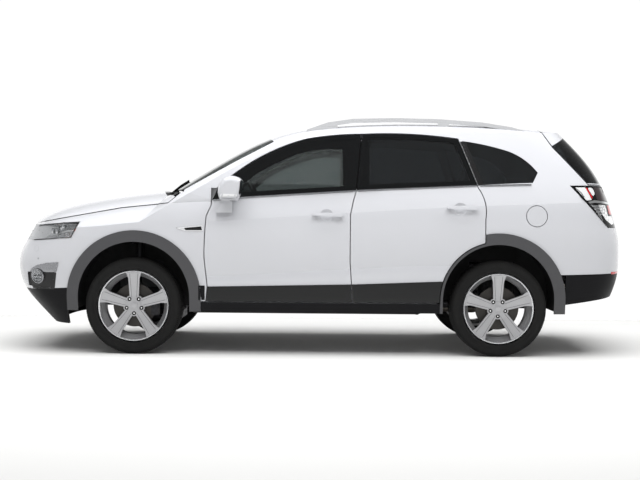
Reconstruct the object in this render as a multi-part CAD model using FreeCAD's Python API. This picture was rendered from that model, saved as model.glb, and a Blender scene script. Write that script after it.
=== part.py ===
"""A five-door family SUV, standing on its wheels.

Frame: the origin is on the ground under the middle of the vehicle's length. X runs rearwards, Y to the
vehicle's right and Z up, so the nose points to -X and the left side is at -Y. All sizes are millimetres.

How it is built: three smooth skins (the walls that wrap round the plan, the bonnet deck, and the roof with
the windscreen) bound one hull. Every panel is a layer of that hull between two insets, cut out along shut
lines that are drawn in side, top or front view. The left side is drawn and the right side mirrors it.
"""
import FreeCAD
import Part
import math
import os
from FreeCAD import Vector

# Driving dimensions of the whole vehicle
overall_length = 4670.0
half_width = 912.0
roof_height = 1772.0
wheelbase = 2705.0
front_overhang = 965.0
track = 1566.0

# Wheels and tyres
tyre_radius = 357.0
tyre_width = 235.0
tyre_sidewall = 96.0
bead_width = 196.0
rim_wall = 9.0
rim_lip = 7.0
rim_well_depth = 34.0
spoke_count = 5
spoke_depth = 30.0
spoke_dish = 30.0
hub_radius = 82.0
hub_depth = 46.0
cap_radius = 29.0
cap_depth = 6.0
bolt_circle = 116.0
bolt_pocket_radius = 15.0
disc_radius = 160.0
disc_thickness = 26.0
disc_inset = 20.0
spoke_hub_share = 0.36
spoke_rim_share = 0.50
spoke_flare_share = 1.45
hub_core_radius = 50.0
boss_ring_radius = 23.0

# Walls and clearances
door_gap = 7.0
frame_gap = 12.0
fixed_seam = 0.6
seat_gap = 0.3
skin_thickness = 4.0
trim_base = 3.0
trim_proud = 13.0
guard_proud = 7.0
door_thickness = 80.0
flange_thickness = 18.0
flange_width = 26.0
hinge_land = 58.0
frame_thickness = 32.0
frame_width = 38.0
seal_gap = 9.0
seal_lap = 42.0
pillar_thickness = 46.0
roof_thickness = 42.0
bonnet_thickness = 30.0
glass_thickness = 5.0
glass_inset = 2.0
bumper_thickness = 34.0
cleat_width = 8.0
lamp_depth = 110.0
lens_thickness = 4.0
lamp_back = 20.0
past = 60.0
hair = 0.01

# Arches, floors and sill
arch_radius = 415.0
arch_trim_width = 84.0
arch_rise = 60.0
door_arch_radius = 436.0
liner_radius = 442.0
liner_wall = 4.0
liner_inner = 455.0
door_bottom = 396.0
sill_bottom = 318.0
floor_height = 350.0
floor_thickness = 22.0
tunnel_width = 280.0
tunnel_height = 150.0
load_floor_height = 640.0
cabin_half_width = 745.0

# Hinges and ranges that clearances depend on
door_hinge_back = 50.0
door_hinge_in = 20.0

# Places along the length, from the middle of the vehicle
half_length = overall_length / 2
front_axle = front_overhang - half_length
rear_axle = front_axle + wheelbase
axle_height = tyre_radius
arch_height = axle_height + arch_rise
wheel_centre = track / 2
wheel_outer = wheel_centre + tyre_width / 2
rim_radius = tyre_radius - tyre_sidewall
far = 2 * overall_length

# Shares of the half length, roof height and half width that draw the wall that wraps the plan:
# height, reach of the nose, reach of the tail, half width
wrap_shares = (
    (0.085, 0.860, 0.915, 0.955),
    (0.169, 0.920, 0.945, 0.972),
    (0.254, 0.985, 0.980, 0.985),
    (0.347, 1.006, 1.000, 0.995),
    (0.423, 1.000, 1.000, 1.000),
    (0.499, 0.963, 1.000, 0.998),
    (0.570, 0.936, 0.982, 0.992),
    (0.632, 0.921, 0.970, 0.981),
    (0.705, 0.916, 0.950, 0.956),
    (0.790, 0.916, 0.918, 0.880),
    (0.875, 0.916, 0.868, 0.803),
    (0.959, 0.916, 0.806, 0.728),
    (1.049, 0.916, 0.735, 0.646),
)
# Where the inset changes from the lower wall's to the window frame's, as shares of the roof height
lower_wall_share = 0.632
upper_wall_share = 0.720
# Corner shapes of the plan, as shares: back from the nose or tail, and out to the side
nose_corner_shares = ((0.000, 0.42), (0.026, 0.80), (0.140, 0.972))
side_shares = ((-0.620, 0.985), (-0.300, 1.000), (0.130, 1.000))
tail_corner_shares = ((0.205, 0.972), (0.058, 0.905), (0.007, 0.62), (0.000, 0.30))

# Bonnet deck: place along the vehicle, height as a share of the roof height
deck_shares = (
    (-0.150, 0.290), (-0.047, 0.415), (0.036, 0.510), (0.160, 0.586), (0.375, 0.631),
    (0.750, 0.668), (1.045, 0.694), (1.174, 0.706), (1.321, 0.712),
)
# Crown of the deck: share of the half width, drop as a share of the roof height
deck_crown_shares = (
    (1.10, 0.262), (1.02, 0.160), (0.945, 0.100), (0.86, 0.064), (0.73, 0.040), (0.52, 0.018), (0.24, 0.000),
)
deck_sweep_share = 0.030

# Windscreen and roof: place along the vehicle, then height, half width and bow across, as shares
roof_shares = (
    (0.658, 0.500, 1.010, 0.045), (0.939, 0.588, 1.000, 0.045), (1.078, 0.686, 0.985, 0.045),
    (1.210, 0.813, 0.920, 0.045), (1.329, 0.916, 0.815, 0.038), (1.440, 0.972, 0.765, 0.026),
    (1.599, 0.996, 0.742, 0.022), (1.784, 1.003, 0.738, 0.022), (1.968, 0.996, 0.738, 0.022),
    (2.316, 0.979, 0.740, 0.022), (2.666, 0.958, 0.740, 0.022), (3.065, 0.930, 0.740, 0.022),
)
roof_crown_shares = ((1.50, 0.120), (1.25, 0.095), (1.09, 0.058), (1.00, 0.030), (0.93, 0.014), (0.84, 0.004), (0.60, 0.000), (0.25, 0.000))

# Shut lines in side view: place along the vehicle, and height as a share of the roof height.
# One point is a corner, two a straight line, three an arc.
split_line = [[(1.600, 0.223)], [(1.592, 0.395)], [(1.592, 0.587)], [(1.600, 0.649)], [(1.608, 0.690)], [(1.623, 0.926)]]
front_door_front = [[(1.198, 0.223)], [(1.202, 0.287)], [(1.193, 0.405), (1.194, 0.497), (1.198, 0.580)], [(1.211, 0.624)], [(1.213, 0.647)]]
front_door_top = [[(1.225, 0.694)], [(1.225, 0.694), (1.346, 0.833), (1.469, 0.910)], [(1.469, 0.910), (1.547, 0.927), (1.623, 0.933)]]
rear_door_top = [[(1.623, 0.933), (1.758, 0.935), (1.892, 0.916)]]
rear_door_back = [[(1.943, 0.704)], [(1.943, 0.704), (1.960, 0.649), (1.962, 0.576)], [(1.962, 0.523)]]
window_top_rear = [[(1.892, 0.916), (1.966, 0.898), (2.059, 0.876)], [(2.059, 0.876), (2.234, 0.822), (2.310, 0.774)], [(2.261, 0.723)]]
belt_line = [(1.213, 0.647), (1.299, 0.660), (1.607, 0.691), (1.674, 0.697), (1.943, 0.717), (2.261, 0.723)]
guard_line = [(1.198, 0.285), (1.600, 0.299), (1.839, 0.314)]
screen_edge = [(1.134, 0.690), (1.270, 0.808), (1.396, 0.913)]
screen_base_plan = [1.136, 1.081]
header_plan = [1.401, 1.352]
bonnet_line = [(0.192, 0.540), (0.887, 0.609), (1.092, 0.631), (1.123, 0.673)]
bonnet_rear_plan = [1.123, 1.049]
bumper_line = [(-0.088, 0.468), (0.191, 0.468), (0.519, 0.481), (0.720, 0.490), (0.969, 0.497)]
bumper_bottom = [(-0.088, 0.265), (0.181, 0.265), (0.478, 0.274), (0.658, 0.282)]
guard_bottom = [(-0.088, 0.155), (0.109, 0.155), (0.306, 0.120), (0.969, 0.120)]
headlamp_line = [(-0.088, 0.536), (0.224, 0.536), (0.583, 0.552), (0.519, 0.481), (0.191, 0.468), (-0.088, 0.468)]
fog_line = [(0.155, 0.337), (0.389, 0.342), (0.363, 0.272), (0.155, 0.278)]
rear_bumper_line = [(2.265, 0.460), (2.455, 0.460), (2.570, 0.491), (2.815, 0.536), (3.165, 0.536)]
rear_bumper_bottom = [(2.265, 0.345), (2.485, 0.345), (3.085, 0.354)]
rear_guard_bottom = [(2.165, 0.210), (2.430, 0.213), (2.880, 0.248), (3.165, 0.248)]
tail_lamp_line = [(2.533, 0.720), (3.165, 0.723), (3.165, 0.541), (2.830, 0.543)]
tail_seam = [(2.353, 1.010), (2.353, 0.956), (2.429, 0.887), (2.684, 0.727), (3.165, 0.728), (3.165, 1.072), (2.353, 1.072)]
spoiler_line = [(2.315, 0.872), (2.422, 0.890), (2.553, 0.934), (2.865, 0.934)]
wing_top = [(1.123, 0.673), (1.134, 0.681), (1.210, 0.650)]
roof_seam_share = 2.353
rail_line = [(1.470, 0.954), (1.529, 0.986), (1.599, 1.002), (1.713, 1.007), (1.839, 1.004), (1.965, 0.991), (2.125, 0.972), (2.236, 0.954)]


def at_right(shape):
    """The mirror image of a left piece, on the right."""
    return shape.mirror(Vector(0, 0, 0), Vector(0, 1, 0))


def both(shape):
    """A left piece and its mirror image, as one node of separate solids."""
    return Part.makeCompound(shape.Solids + at_right(shape).Solids)


def knots(count, degree):
    inner = count - degree + 1
    return [float(i) for i in range(inner)], [degree + 1] + [1] * (inner - 2) + [degree + 1]


def spline_face(rows):
    """A smooth cubic face that follows a grid of control points."""
    uknots, umults = knots(len(rows), 3)
    vknots, vmults = knots(len(rows[0]), 3)
    surface = Part.BSplineSurface()
    surface.buildFromPolesMultsKnots(rows, umults, vmults, uknots, vknots, False, False, 3, 3)
    return surface.toShape()


def spline_edge(points):
    curve = Part.BSplineCurve()
    values, mults = knots(len(points), 3)
    curve.buildFromPolesMultsKnots(points, mults, values, False, 3)
    return curve.toShape()


def along(share):
    """A place along the vehicle: 0 at the nose, 1 and 2 at the axles, 3 at the tail."""
    stops = (-half_length, front_axle, rear_axle, half_length)
    part = min(2, max(0, math.floor(share)))
    return stops[part] + (share - part) * (stops[part + 1] - stops[part])


def up(share):
    return share * roof_height


def outline_at(level, side, inset):
    """Control points of half of the plan outline at one height, from the nose round to the tail."""
    height_share, nose, tail, width = level
    nose_x = inset - nose * half_length
    tail_x = tail * half_length - inset
    wide = width * half_width - inset
    points = [(nose_x, 0)]
    points += [(nose_x + back * half_length, out * wide) for back, out in nose_corner_shares]
    points += [(place * half_length, out * wide) for place, out in side_shares]
    tail_start = tail_x - tail_corner_shares[0][0] * half_length
    points += [((points[-1][0] + tail_start) / 2, wide)]
    points += [(tail_x - back * half_length, out * wide) for back, out in tail_corner_shares]
    points += [(tail_x, 0)]
    return [Vector(x, side * y, up(height_share)) for x, y in points]


made = {}


def wrap(lower=0.0, upper=None):
    """The solid inside the wall that wraps the plan, inset by one amount below the belt and one above."""
    upper = lower if upper is None else upper
    if ("wrap", lower, upper) in made:
        return made["wrap", lower, upper]
    insets = []
    for level in wrap_shares:
        share = (level[0] - lower_wall_share) / (upper_wall_share - lower_wall_share)
        insets.append(lower + (upper - lower) * min(1, max(0, share)))
    halves = []
    for side in (-1, 1):
        halves.append(spline_face([outline_at(level, side, inset) for level, inset in zip(wrap_shares, insets)]))
    caps = []
    for level, inset in ((wrap_shares[0], insets[0]), (wrap_shares[-1], insets[-1])):
        edges = [spline_edge(outline_at(level, side, inset)) for side in (-1, 1)]
        caps.append(Part.Face(Part.Wire(Part.__sortEdges__(edges))))
    shell = Part.makeShell(halves + caps)
    shell.sewShape()
    solid = Part.Solid(shell if shell.ShapeType == "Shell" else shell.Shells[0])
    if solid.Volume < 0:
        solid.reverse()
    made["wrap", lower, upper] = solid
    return solid


def mirrored_row(half):
    """A row of (across, value) control points from the left edge to the right edge."""
    return [(-y, v) for y, v in half] + [(y, v) for y, v in reversed(half)]


def under_deck(inset=0.0):
    """Everything below the bonnet's skin, whose sides fall away into the shoulders."""
    rows = []
    for place, high in deck_shares:
        row = []
        for t, drop in mirrored_row(deck_crown_shares):
            x = along(place) + deck_sweep_share * half_length * t * t + inset
            row.append(Vector(x, t * (half_width - inset), up(high - drop) - inset))
        rows.append(row)
    return spline_face(rows).extrude(Vector(0, 0, -far))


def under_roof(inset=0.0):
    """Everything below the windscreen and the roof."""
    rows = []
    for place, high, width, bow in roof_shares:
        row = []
        for t, drop in mirrored_row(roof_crown_shares):
            z = up(high - bow * t * t - drop) - inset
            row.append(Vector(along(place), t * (width * half_width - inset), z))
        rows.append(row)
    return spline_face(rows).extrude(Vector(0, 0, -far))


def hull(inset=0.0):
    """The whole closed outer form, inset all round."""
    if ("hull", inset) not in made:
        walls = wrap(inset)
        made["hull", inset] = walls.common(under_deck(inset)).fuse(walls.common(under_roof(inset)))
    return made["hull", inset]


def profile(place, runs):
    """A flat face bounded by runs of points: a corner, a straight line or an arc through three points."""
    edges = []
    points = [[place(point) for point in run] for run in runs]
    for index, run in enumerate(points):
        if len(run) == 2:
            edges.append(Part.LineSegment(run[0], run[1]).toShape())
        if len(run) == 3:
            edges.append(Part.Arc(run[0], run[1], run[2]).toShape())
        start = points[(index + 1) % len(points)][0]
        if run[-1].distanceToPoint(start) > hair:
            edges.append(Part.LineSegment(run[-1], start).toShape())
    return Part.Face(Part.Wire(edges))


def side_point(point):
    return Vector(along(point[0]), 0, up(point[1]))


def plan_point(point):
    return Vector(along(point[0]), point[1] * half_width, 0)


def end_point(point):
    return Vector(0, point[0] * half_width, up(point[1]))


def grown(face, by):
    """A flat face with its outline moved outwards, or inwards where the amount is negative."""
    face = max(face.Faces, key=lambda f: f.Area)
    return face.makeOffset2D(by, 2, False, False, False) if by else face


def across(face, y_from=None, y_to=0.0):
    """A side view face as a prism over a band of the width; the left half by default."""
    y_from = -far if y_from is None else y_from
    face = face.copy()
    face.translate(Vector(0, y_from, 0))
    return face.extrude(Vector(0, y_to - y_from, 0))


def tall(face):
    """A top view face as a prism over every height."""
    return face.extrude(Vector(0, 0, far))


def lengthwise(face, x_from, x_to):
    face = face.copy()
    face.translate(Vector(x_from, 0, 0))
    return face.extrude(Vector(x_to - x_from, 0, 0))


def corners(points):
    return [[point] for point in points]


def side_area(points, by=0.0):
    return grown(profile(side_point, corners(points)), by)


def stretched(line):
    """A side view line carried on level past both ends of the vehicle."""
    return [(-5.0, line[0][1])] + list(line) + [(8.0, line[-1][1])]


def above(line):
    """The side view area over a line."""
    return profile(side_point, corners(stretched(line) + [(8.0, 3.0), (-5.0, 3.0)]))


def below(line):
    return profile(side_point, corners(stretched(line) + [(8.0, -1.0), (-5.0, -1.0)]))


def box(x0, x1, y0, y1, z0, z1):
    return Part.makeBox(x1 - x0, y1 - y0, z1 - z0, Vector(x0, y0, z0))


def barrel(radius, length, place, direction=None):
    """A round bar that starts at a place and runs inboard from the left unless told otherwise."""
    return Part.makeCylinder(radius, length, place, direction or Vector(0, 1, 0))


def left_band(outer, inner=0.0):
    return box(-far, far, -outer, -inner, -far, far)


def moved(face, dx=0.0, dz=0.0):
    face = face.copy()
    face.translate(Vector(dx, 0, dz))
    return face


def solid_of(shape):
    """The one solid of a shape, or all of its solids above a sliver."""
    keep = [s for s in shape.Solids if s.Volume > sliver]
    if len(keep) == 1:
        return keep[0]
    return Part.makeCompound(keep)


sliver = skin_thickness ** 3
nodes = {}
strip_height = 16.0


def add(name, shape):
    nodes[name] = shape


def add_pair(name, left):
    nodes[name + "_left"] = left
    nodes[name + "_right"] = at_right(left)


# Outlines that several pieces share
door_front_runs = front_door_front + front_door_top
front_door_face = profile(side_point, door_front_runs + list(reversed(split_line)))
arch_centre = Vector(rear_axle, 0, arch_height)


def arc_round(centre_x, radius, start, end):
    """Three points on a side view arc about an axle, from one angle to another in degrees."""
    angles = (start, (start + end) / 2, end)
    return [Vector(centre_x + radius * math.cos(math.radians(a)), 0, arch_height + radius * math.sin(math.radians(a))) for a in angles]


def rear_door_outline():
    """The rear door's face: straight in front, cut by the arch at its lower rear."""
    whole = rear_door_runs()
    cutter = Part.Face(Part.Wire(Part.makeCircle(door_arch_radius, arch_centre, Vector(0, 1, 0))))
    return max(whole.cut(cutter).Faces, key=lambda f: f.Area)


def rear_door_runs():
    runs = list(split_line) + rear_door_top + rear_door_back
    runs += [[(rear_door_back[-1][0][0], split_line[0][0][1])]]
    return profile(side_point, runs)


rear_door_face = rear_door_outline()


roof_half_share = 0.655
gate_half_share = 0.632
lamp_inner_share = 0.480
hinge_post_share = 1.140
ring_rear_share = 2.675
quarter_front_share = 1.839
gate_thickness = 50.0
gate_gap = 8.0
gate_bottom_share = 0.480
gate_window_shares = ((-0.60, 0.742), (-0.53, 0.905), (0.53, 0.905), (0.60, 0.742))
grille_shares = ((-0.47, 0.522), (-0.44, 0.472), (0.44, 0.472), (0.47, 0.522))
intake_shares = ((-0.62, 0.360), (-0.52, 0.272), (0.52, 0.272), (0.62, 0.360))
slat_height = 9.0
slat_depth = 26.0
grille_slats = 4
intake_slats = 3


def cabin(by=0.0):
    """The space inside the pillars and the sills."""
    depth = seal_gap + pillar_thickness + by
    return wrap(door_thickness + depth, frame_thickness + depth)


def lamp_space(by=0.0):
    """The headlamps' own space, down to the back of their housings."""
    return front_lamp_zone(by).cut(hull(lens_thickness + lamp_depth + by))


def left_only(shape):
    return shape.common(left_band(far, 0))


def layer(outer, inner, cutter):
    """A layer of the walls between two insets, inside a cutter."""
    return wrap(outer).common(cutter).cut(wrap(inner))


def hull_layer(outer, inner, cutter):
    """A layer of the whole hull between two insets, inside a cutter."""
    return hull(outer).common(cutter).cut(hull(inner))


def belt_strip():
    """The narrow bright band that lies along the belt, seen from the side."""
    low = [side_point(point) for point in belt_line]
    high = [point + Vector(0, 0, strip_height) for point in low]
    ring = low + list(reversed(high)) + [low[0]]
    return Part.Face(Part.makePolygon(ring))


def skin_y(point):
    """How far out the left wall is at a point of the side view."""
    spot = side_point(point)
    line = Part.makeLine(Vector(spot.x, -far, spot.z), Vector(spot.x, 0, spot.z))
    return line.common(wrap()).BoundBox.YMin


def door_handle(dish):
    """A grip that stands off the skin on two feet, and the round hollow for the fingers behind it."""
    back = along(dish[0]) - along(front_dish[0])
    rise = up(dish[1]) - up(front_dish[1])
    outline = moved(profile(side_point, handle_runs), back, rise)
    grip = layer(-grip_reach, -grip_reach + grip_depth, across(outline))
    feet = []
    reach = 2 * grip_foot
    for end in (outline.BoundBox.XMin, outline.BoundBox.XMax):
        foot = across(outline).common(box(end - reach, end + reach, -far, 0, 0, far))
        feet.append(layer(-grip_reach + grip_depth / 2, trim_base, foot))
    bowl_radius = (dish_radius ** 2 + dish_depth ** 2) / (2 * dish_depth)
    centre = Vector(along(dish[0]), skin_y(dish) - bowl_radius + dish_depth, up(dish[1]))
    return grip.fuse(feet), Part.makeSphere(bowl_radius, centre)


handle_runs = [[(1.495, 0.585)], [(1.562, 0.581), (1.572, 0.590), (1.562, 0.599)], [(1.495, 0.596), (1.489, 0.590), (1.495, 0.585)]]
front_dish = (1.527, 0.590)
rear_dish = (1.893, 0.623)
grip_reach = 36.0
grip_depth = 13.0
grip_foot = 17.0
dish_radius = 48.0
dish_depth = 12.0


def door_solids(face, front_x, dish):
    """One door: an outer skin with its flange, the box behind it, and the frame round the window."""
    grip, bowl = door_handle(dish)
    shut = grown(face, -door_gap / 2)
    window_face = grown(face.common(above(belt_line)), -frame_width)
    low = across(shut.common(below(belt_line)))
    high = across(grown(face, -frame_gap / 2).common(above(belt_line)))
    window = across(window_face)
    guard = across(below(guard_line))
    lower_skin = layer(0, flange_thickness, low)
    lower_skin = lower_skin.cut(guard.cut(wrap(trim_base + seat_gap)))
    inner = grown(face, -door_gap / 2 - flange_width).common(below(belt_line))
    core = wrap(flange_thickness - hair).common(across(inner)).cut(wrap(door_thickness, frame_thickness))
    core = core.common(box(front_x + hinge_land, far, -far, 0, 0, far))
    frame = wrap(trim_base + seat_gap).common(high).cut(wrap(door_thickness, frame_thickness)).cut(window)
    panel = solid_of(lower_skin.fuse([core, frame]).cut(bowl).fuse(grip))
    cover = layer(0, trim_base, high).cut(window)
    apron = layer(-guard_proud, trim_base, low.common(guard))
    strip = layer(-trim_base, 0, across(belt_strip().common(shut)))
    glass = layer(glass_inset + trim_base, glass_inset + trim_base + glass_thickness, across(grown(window_face, -seat_gap)))
    return panel, solid_of(cover.fuse([apron, strip])), solid_of(glass)


def largest(shape):
    return max(shape.Solids, key=lambda s: s.Volume)


def axle_barrel(radius, x, y_from, y_to, z=None):
    """A round prism across the vehicle about an axle or an arch's centre, on the left side."""
    z = arch_height if z is None else z
    return Part.makeCylinder(radius, y_to - y_from, Vector(x, y_from, z), Vector(0, 1, 0))


def arch_cut(radius):
    """Both arches' round openings, with straight sides below their centres."""
    shapes = []
    for x in (front_axle, rear_axle):
        shapes.append(axle_barrel(radius, x, -far, -liner_inner + liner_wall))
        shapes.append(box(x - radius, x + radius, -far, -liner_inner + liner_wall, 0, arch_height))
    return shapes[0].fuse(shapes[1:])


def plan_arc(pair, by=0.0):
    """The area of the plan behind an arc that bows forwards from the sides to the middle."""
    side, middle = pair
    start = Vector(along(side) + by, -far, 0)
    a = Vector(along(side) + by, -half_width, 0)
    b = Vector(along(middle) + by, 0, 0)
    c = Vector(along(side) + by, half_width, 0)
    end = Vector(along(side) + by, far, 0)
    edges = [Part.LineSegment(start, a).toShape(), Part.Arc(a, b, c).toShape(), Part.LineSegment(c, end).toShape()]
    edges.append(Part.LineSegment(end, Vector(far, far, 0)).toShape())
    edges.append(Part.LineSegment(Vector(far, far, 0), Vector(far, -far, 0)).toShape())
    edges.append(Part.LineSegment(Vector(far, -far, 0), start).toShape())
    return tall(Part.Face(Part.Wire(edges)))


def full(face):
    """A side view face as a prism right across the vehicle."""
    return across(face, -far, far)


def screen_zone(by=0.0):
    """The windscreen's own space: over the pillars' line in side view, between two arcs in plan."""
    line = screen_edge
    zone = profile(side_point, corners([(-5.0, line[0][1])] + line + [(line[-1][0], 3.0), (-5.0, 3.0)]))
    return full(grown(zone, by)).common(plan_arc(screen_base_plan, -by)).cut(plan_arc(header_plan, by))


def gate_zone(by=0.0):
    """The tailgate's space: the whole width above the lamps, and between the lamps below them."""
    upper = full(grown(side_area(tail_seam), by))
    half = gate_half_share * half_width + by
    bottom = up(gate_bottom_share) - by
    lower = box(rear_axle, far, -half, half, bottom, up(tail_seam[3][1]) + past)
    return upper.fuse(lower)


def lamp_zone(by=0.0):
    zone = full(grown(side_area(tail_lamp_line), by))
    return zone


def make_body_side():
    lap = -seal_lap
    lower = door_thickness + seal_gap
    upper = frame_thickness + seal_gap
    ring = wrap(lower, upper).cut(wrap(lower + pillar_thickness, upper + pillar_thickness))
    ring = ring.common(hull(roof_thickness - trim_base))
    ring = ring.common(box(along(hinge_post_share), along(ring_rear_share), -far, 0, sill_bottom, far))
    for face in (front_door_face, rear_door_face):
        ring = ring.cut(across(grown(face, lap)))
    outside = left_band(far, roof_half_share * half_width + fixed_seam)
    top_area = above([wing_top[0], wing_top[1], wing_top[2], (wing_top[2][0], belt_line[3][1]), (2.0, belt_line[3][1])])
    zone = across(top_area).fuse(box(along(quarter_front_share), far, -far, 0, 0, far))
    zone = zone.common(box(along(wing_top[1][0]), far, -far, 0, 0, far)).common(outside)
    skin = hull_layer(0, roof_thickness, zone)
    fill_area = box(along(quarter_front_share), along(ring_rear_share), -far, 0, sill_bottom, far)
    fill = wrap(0).common(fill_area).cut(wrap(lower + pillar_thickness, upper + pillar_thickness)).common(hull(0))
    for face in (front_door_face, rear_door_face):
        skin = skin.cut(across(grown(face, door_gap / 2)))
        fill = fill.cut(across(grown(face, door_gap / 2)))
    sill = layer(trim_base + seat_gap, lower + pillar_thickness,
                 box(along(hinge_post_share), rear_axle, -far, 0, sill_bottom, door_bottom - door_gap))
    whole = skin.fuse([fill, ring, sill])
    whole = whole.cut(screen_zone(fixed_seam)).cut(gate_zone(gate_gap)).cut(lamp_zone(fixed_seam))
    whole = whole.cut(across(below(rear_bumper_line)).common(box(rear_axle, far, -far, 0, 0, far)))
    whole = whole.cut(arch_cut(liner_radius + liner_wall + seat_gap))
    trims = axle_barrel(arch_radius + arch_trim_width + fixed_seam, rear_axle, -far, -half_width / 2)
    trims = trims.cut(wrap(trim_base + seat_gap))
    whole = whole.cut(trims)
    half = roof_half_share * half_width + fixed_seam
    whole = whole.cut(box(-far, far, -half, half, 0, far).cut(hull(roof_thickness + seat_gap)))
    whole = whole.cut(quarter_window_cut(0))
    whole = whole.cut(across(fuel_disc(fuel_radius + fuel_gap)).cut(wrap(fuel_pocket)))
    return largest(whole)


fuel_radius = 76.0
fuel_pocket = 46.0
fuel_gap = 5.0
fuel_spot = (2.278, 0.590)
fuel_thickness = 6.0


def fuel_disc(radius):
    centre = side_point(fuel_spot)
    return Part.Face(Part.Wire(Part.makeCircle(radius, centre, Vector(0, 1, 0))))


def quarter_window_cut(by):
    """The opening of the fixed window behind the rear door."""
    runs = [[rear_door_back[0][0]], [window_top_rear[0][0]]] + window_top_rear
    face = profile(side_point, [[(1.943, 0.712)], [(1.898, 0.910)]] + window_top_rear + [[(2.165, 0.721)]])
    return across(grown(face, by - frame_gap))


def make_roof():
    half = roof_half_share * half_width
    zone = box(-half_length, along(roof_seam_share) - gate_gap, -half, half, roof_height / 2, far)
    return largest(hull_layer(0, roof_thickness, zone.common(plan_arc(header_plan))).cut(screen_zone(fixed_seam)))


def make_rail():
    """One roof rail: a bar bent along the roof on feet at its ends and middle."""
    y = -(roof_half_share * half_width - rail_width / 2)
    line = [side_point(p) for p in rail_line]
    low = [p - Vector(0, 0, rail_height) for p in line]
    bar = Part.Face(Part.makePolygon(line + list(reversed(low)) + [line[0]]))
    bar = across(bar, y - rail_width / 2, y + rail_width / 2)
    feet = []
    for share, length in rail_feet_shares:
        x = along(share)
        feet.append(box(x, x + length * half_length, y - rail_width / 2, y + rail_width / 2, roof_height / 2, roof_height))
    area = Part.Face(Part.makePolygon(line + [Vector(line[-1].x, 0, 0), Vector(line[0].x, 0, 0), line[0]]))
    feet = feet[0].fuse(feet[1:]).common(full(area))
    return largest(bar.fuse(feet).cut(hull(-seat_gap)))


rail_width = 34.0
rail_height = 30.0
rail_feet_shares = ((1.470, 0.100), (1.839, 0.036), (2.030, 0.090))


def make_windows():
    screen = hull_layer(glass_inset, glass_inset + glass_thickness, screen_zone())
    quarter = layer(glass_inset, glass_inset + glass_thickness, quarter_window_cut(-seat_gap))
    return Part.makeCompound([largest(screen)] + both(largest(quarter)).Solids)


def make_bonnet():
    area = full(above([(x, z + door_gap / roof_height) for x, z in bonnet_line]))
    area = area.cut(plan_arc(bonnet_rear_plan)).cut(front_lamp_zone(door_gap))
    return largest(hull_layer(0, bonnet_thickness, area))


def make_cowl():
    zone = plan_arc(bonnet_rear_plan, door_gap).cut(plan_arc(screen_base_plan, -fixed_seam))
    zone = zone.common(full(above([(x, z + fixed_seam / roof_height) for x, z in (bonnet_line[-2], wing_top[0], wing_top[1])])))
    zone = zone.common(box(-far, far, -cowl_half_share * half_width, cowl_half_share * half_width, 0, far))
    return largest(hull_layer(cowl_inset, cowl_inset + cowl_thickness, zone))


cowl_inset = 12.0
cowl_thickness = 16.0
cowl_half_share = 0.80


def front_lamp_zone(by=0.0):
    zone = full(grown(side_area(headlamp_line), by))
    inner = lamp_inner_share * half_width - by
    return zone.cut(box(-far, far, -inner, inner, 0, far))


def make_wing():
    area = above(bumper_line).common(below(bonnet_line[:-1] + wing_top))
    rear = box(front_axle, far, -far, 0, door_bottom, far).common(across(below(bonnet_line[:-1] + wing_top)))
    zone = across(area).fuse(rear)
    zone = zone.common(box(-far, along(split_line[0][0][0]), -far, -lamp_inner_share * half_width, 0, far))
    zone = zone.cut(across(grown(front_door_face, door_gap / 2)))
    zone = zone.cut(box(along(wing_top[2][0]), far, -far, 0, 0, far))
    zone = zone.cut(front_lamp_zone(fixed_seam))
    zone = zone.cut(axle_barrel(arch_radius + arch_trim_width + fixed_seam, front_axle, -far, 0))
    zone = zone.cut(box(front_axle - arch_radius - arch_trim_width, front_axle + arch_radius + arch_trim_width, -far, 0, 0, arch_height))
    skin = hull_layer(0, skin_thickness, zone)
    lip_line = bonnet_line[1:-1]
    lip_area = below(lip_line).common(above([(x, z - cleat_width / roof_height) for x, z in lip_line]))
    lip = hull_layer(skin_thickness - hair, bonnet_thickness, across(lip_area).common(zone))
    lip = lip.common(box(along(lip_line[0][0]), along(lip_line[-1][0]), -far, 0, 0, far))
    return largest(skin.fuse(lip))


def face_of(shares, x_from, x_to, by=0.0):
    """A front or rear view outline as a prism along the vehicle."""
    face = profile(end_point, corners(shares))
    return lengthwise(grown(face, by), x_from, x_to)


def make_front_bumper():
    zone = full(below(bumper_line)).common(full(above(bumper_bottom)))
    top = box(-far, along(0.5), -lamp_inner_share * half_width, lamp_inner_share * half_width,
              up(bumper_line[0][1]) - past, up(bonnet_line[0][1]) - fixed_seam)
    zone = zone.fuse(top).common(box(-far, along(1), -far, far, 0, far))
    shell = hull_layer(0, bumper_thickness, zone)
    shell = shell.cut(face_of(grille_shares, -far, front_axle))
    shell = shell.cut(face_of(intake_shares, -far, front_axle))
    for side in (at_left, at_right):
        shell = shell.cut(side(across(grown(side_area(fog_line), fixed_seam)).common(
            box(-far, far, -far, -intake_shares[0][0] * -half_width, 0, far))))
        shell = shell.cut(side(arch_trim_cut(front_axle, fixed_seam)))
    return largest(shell)


def at_left(shape):
    return shape


def arch_trim_cut(x, by):
    radius = arch_radius + arch_trim_width + by
    return axle_barrel(radius, x, -far, -half_width / 2).fuse(box(x - radius, x + radius, -far, -half_width / 2, 0, arch_height))


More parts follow.
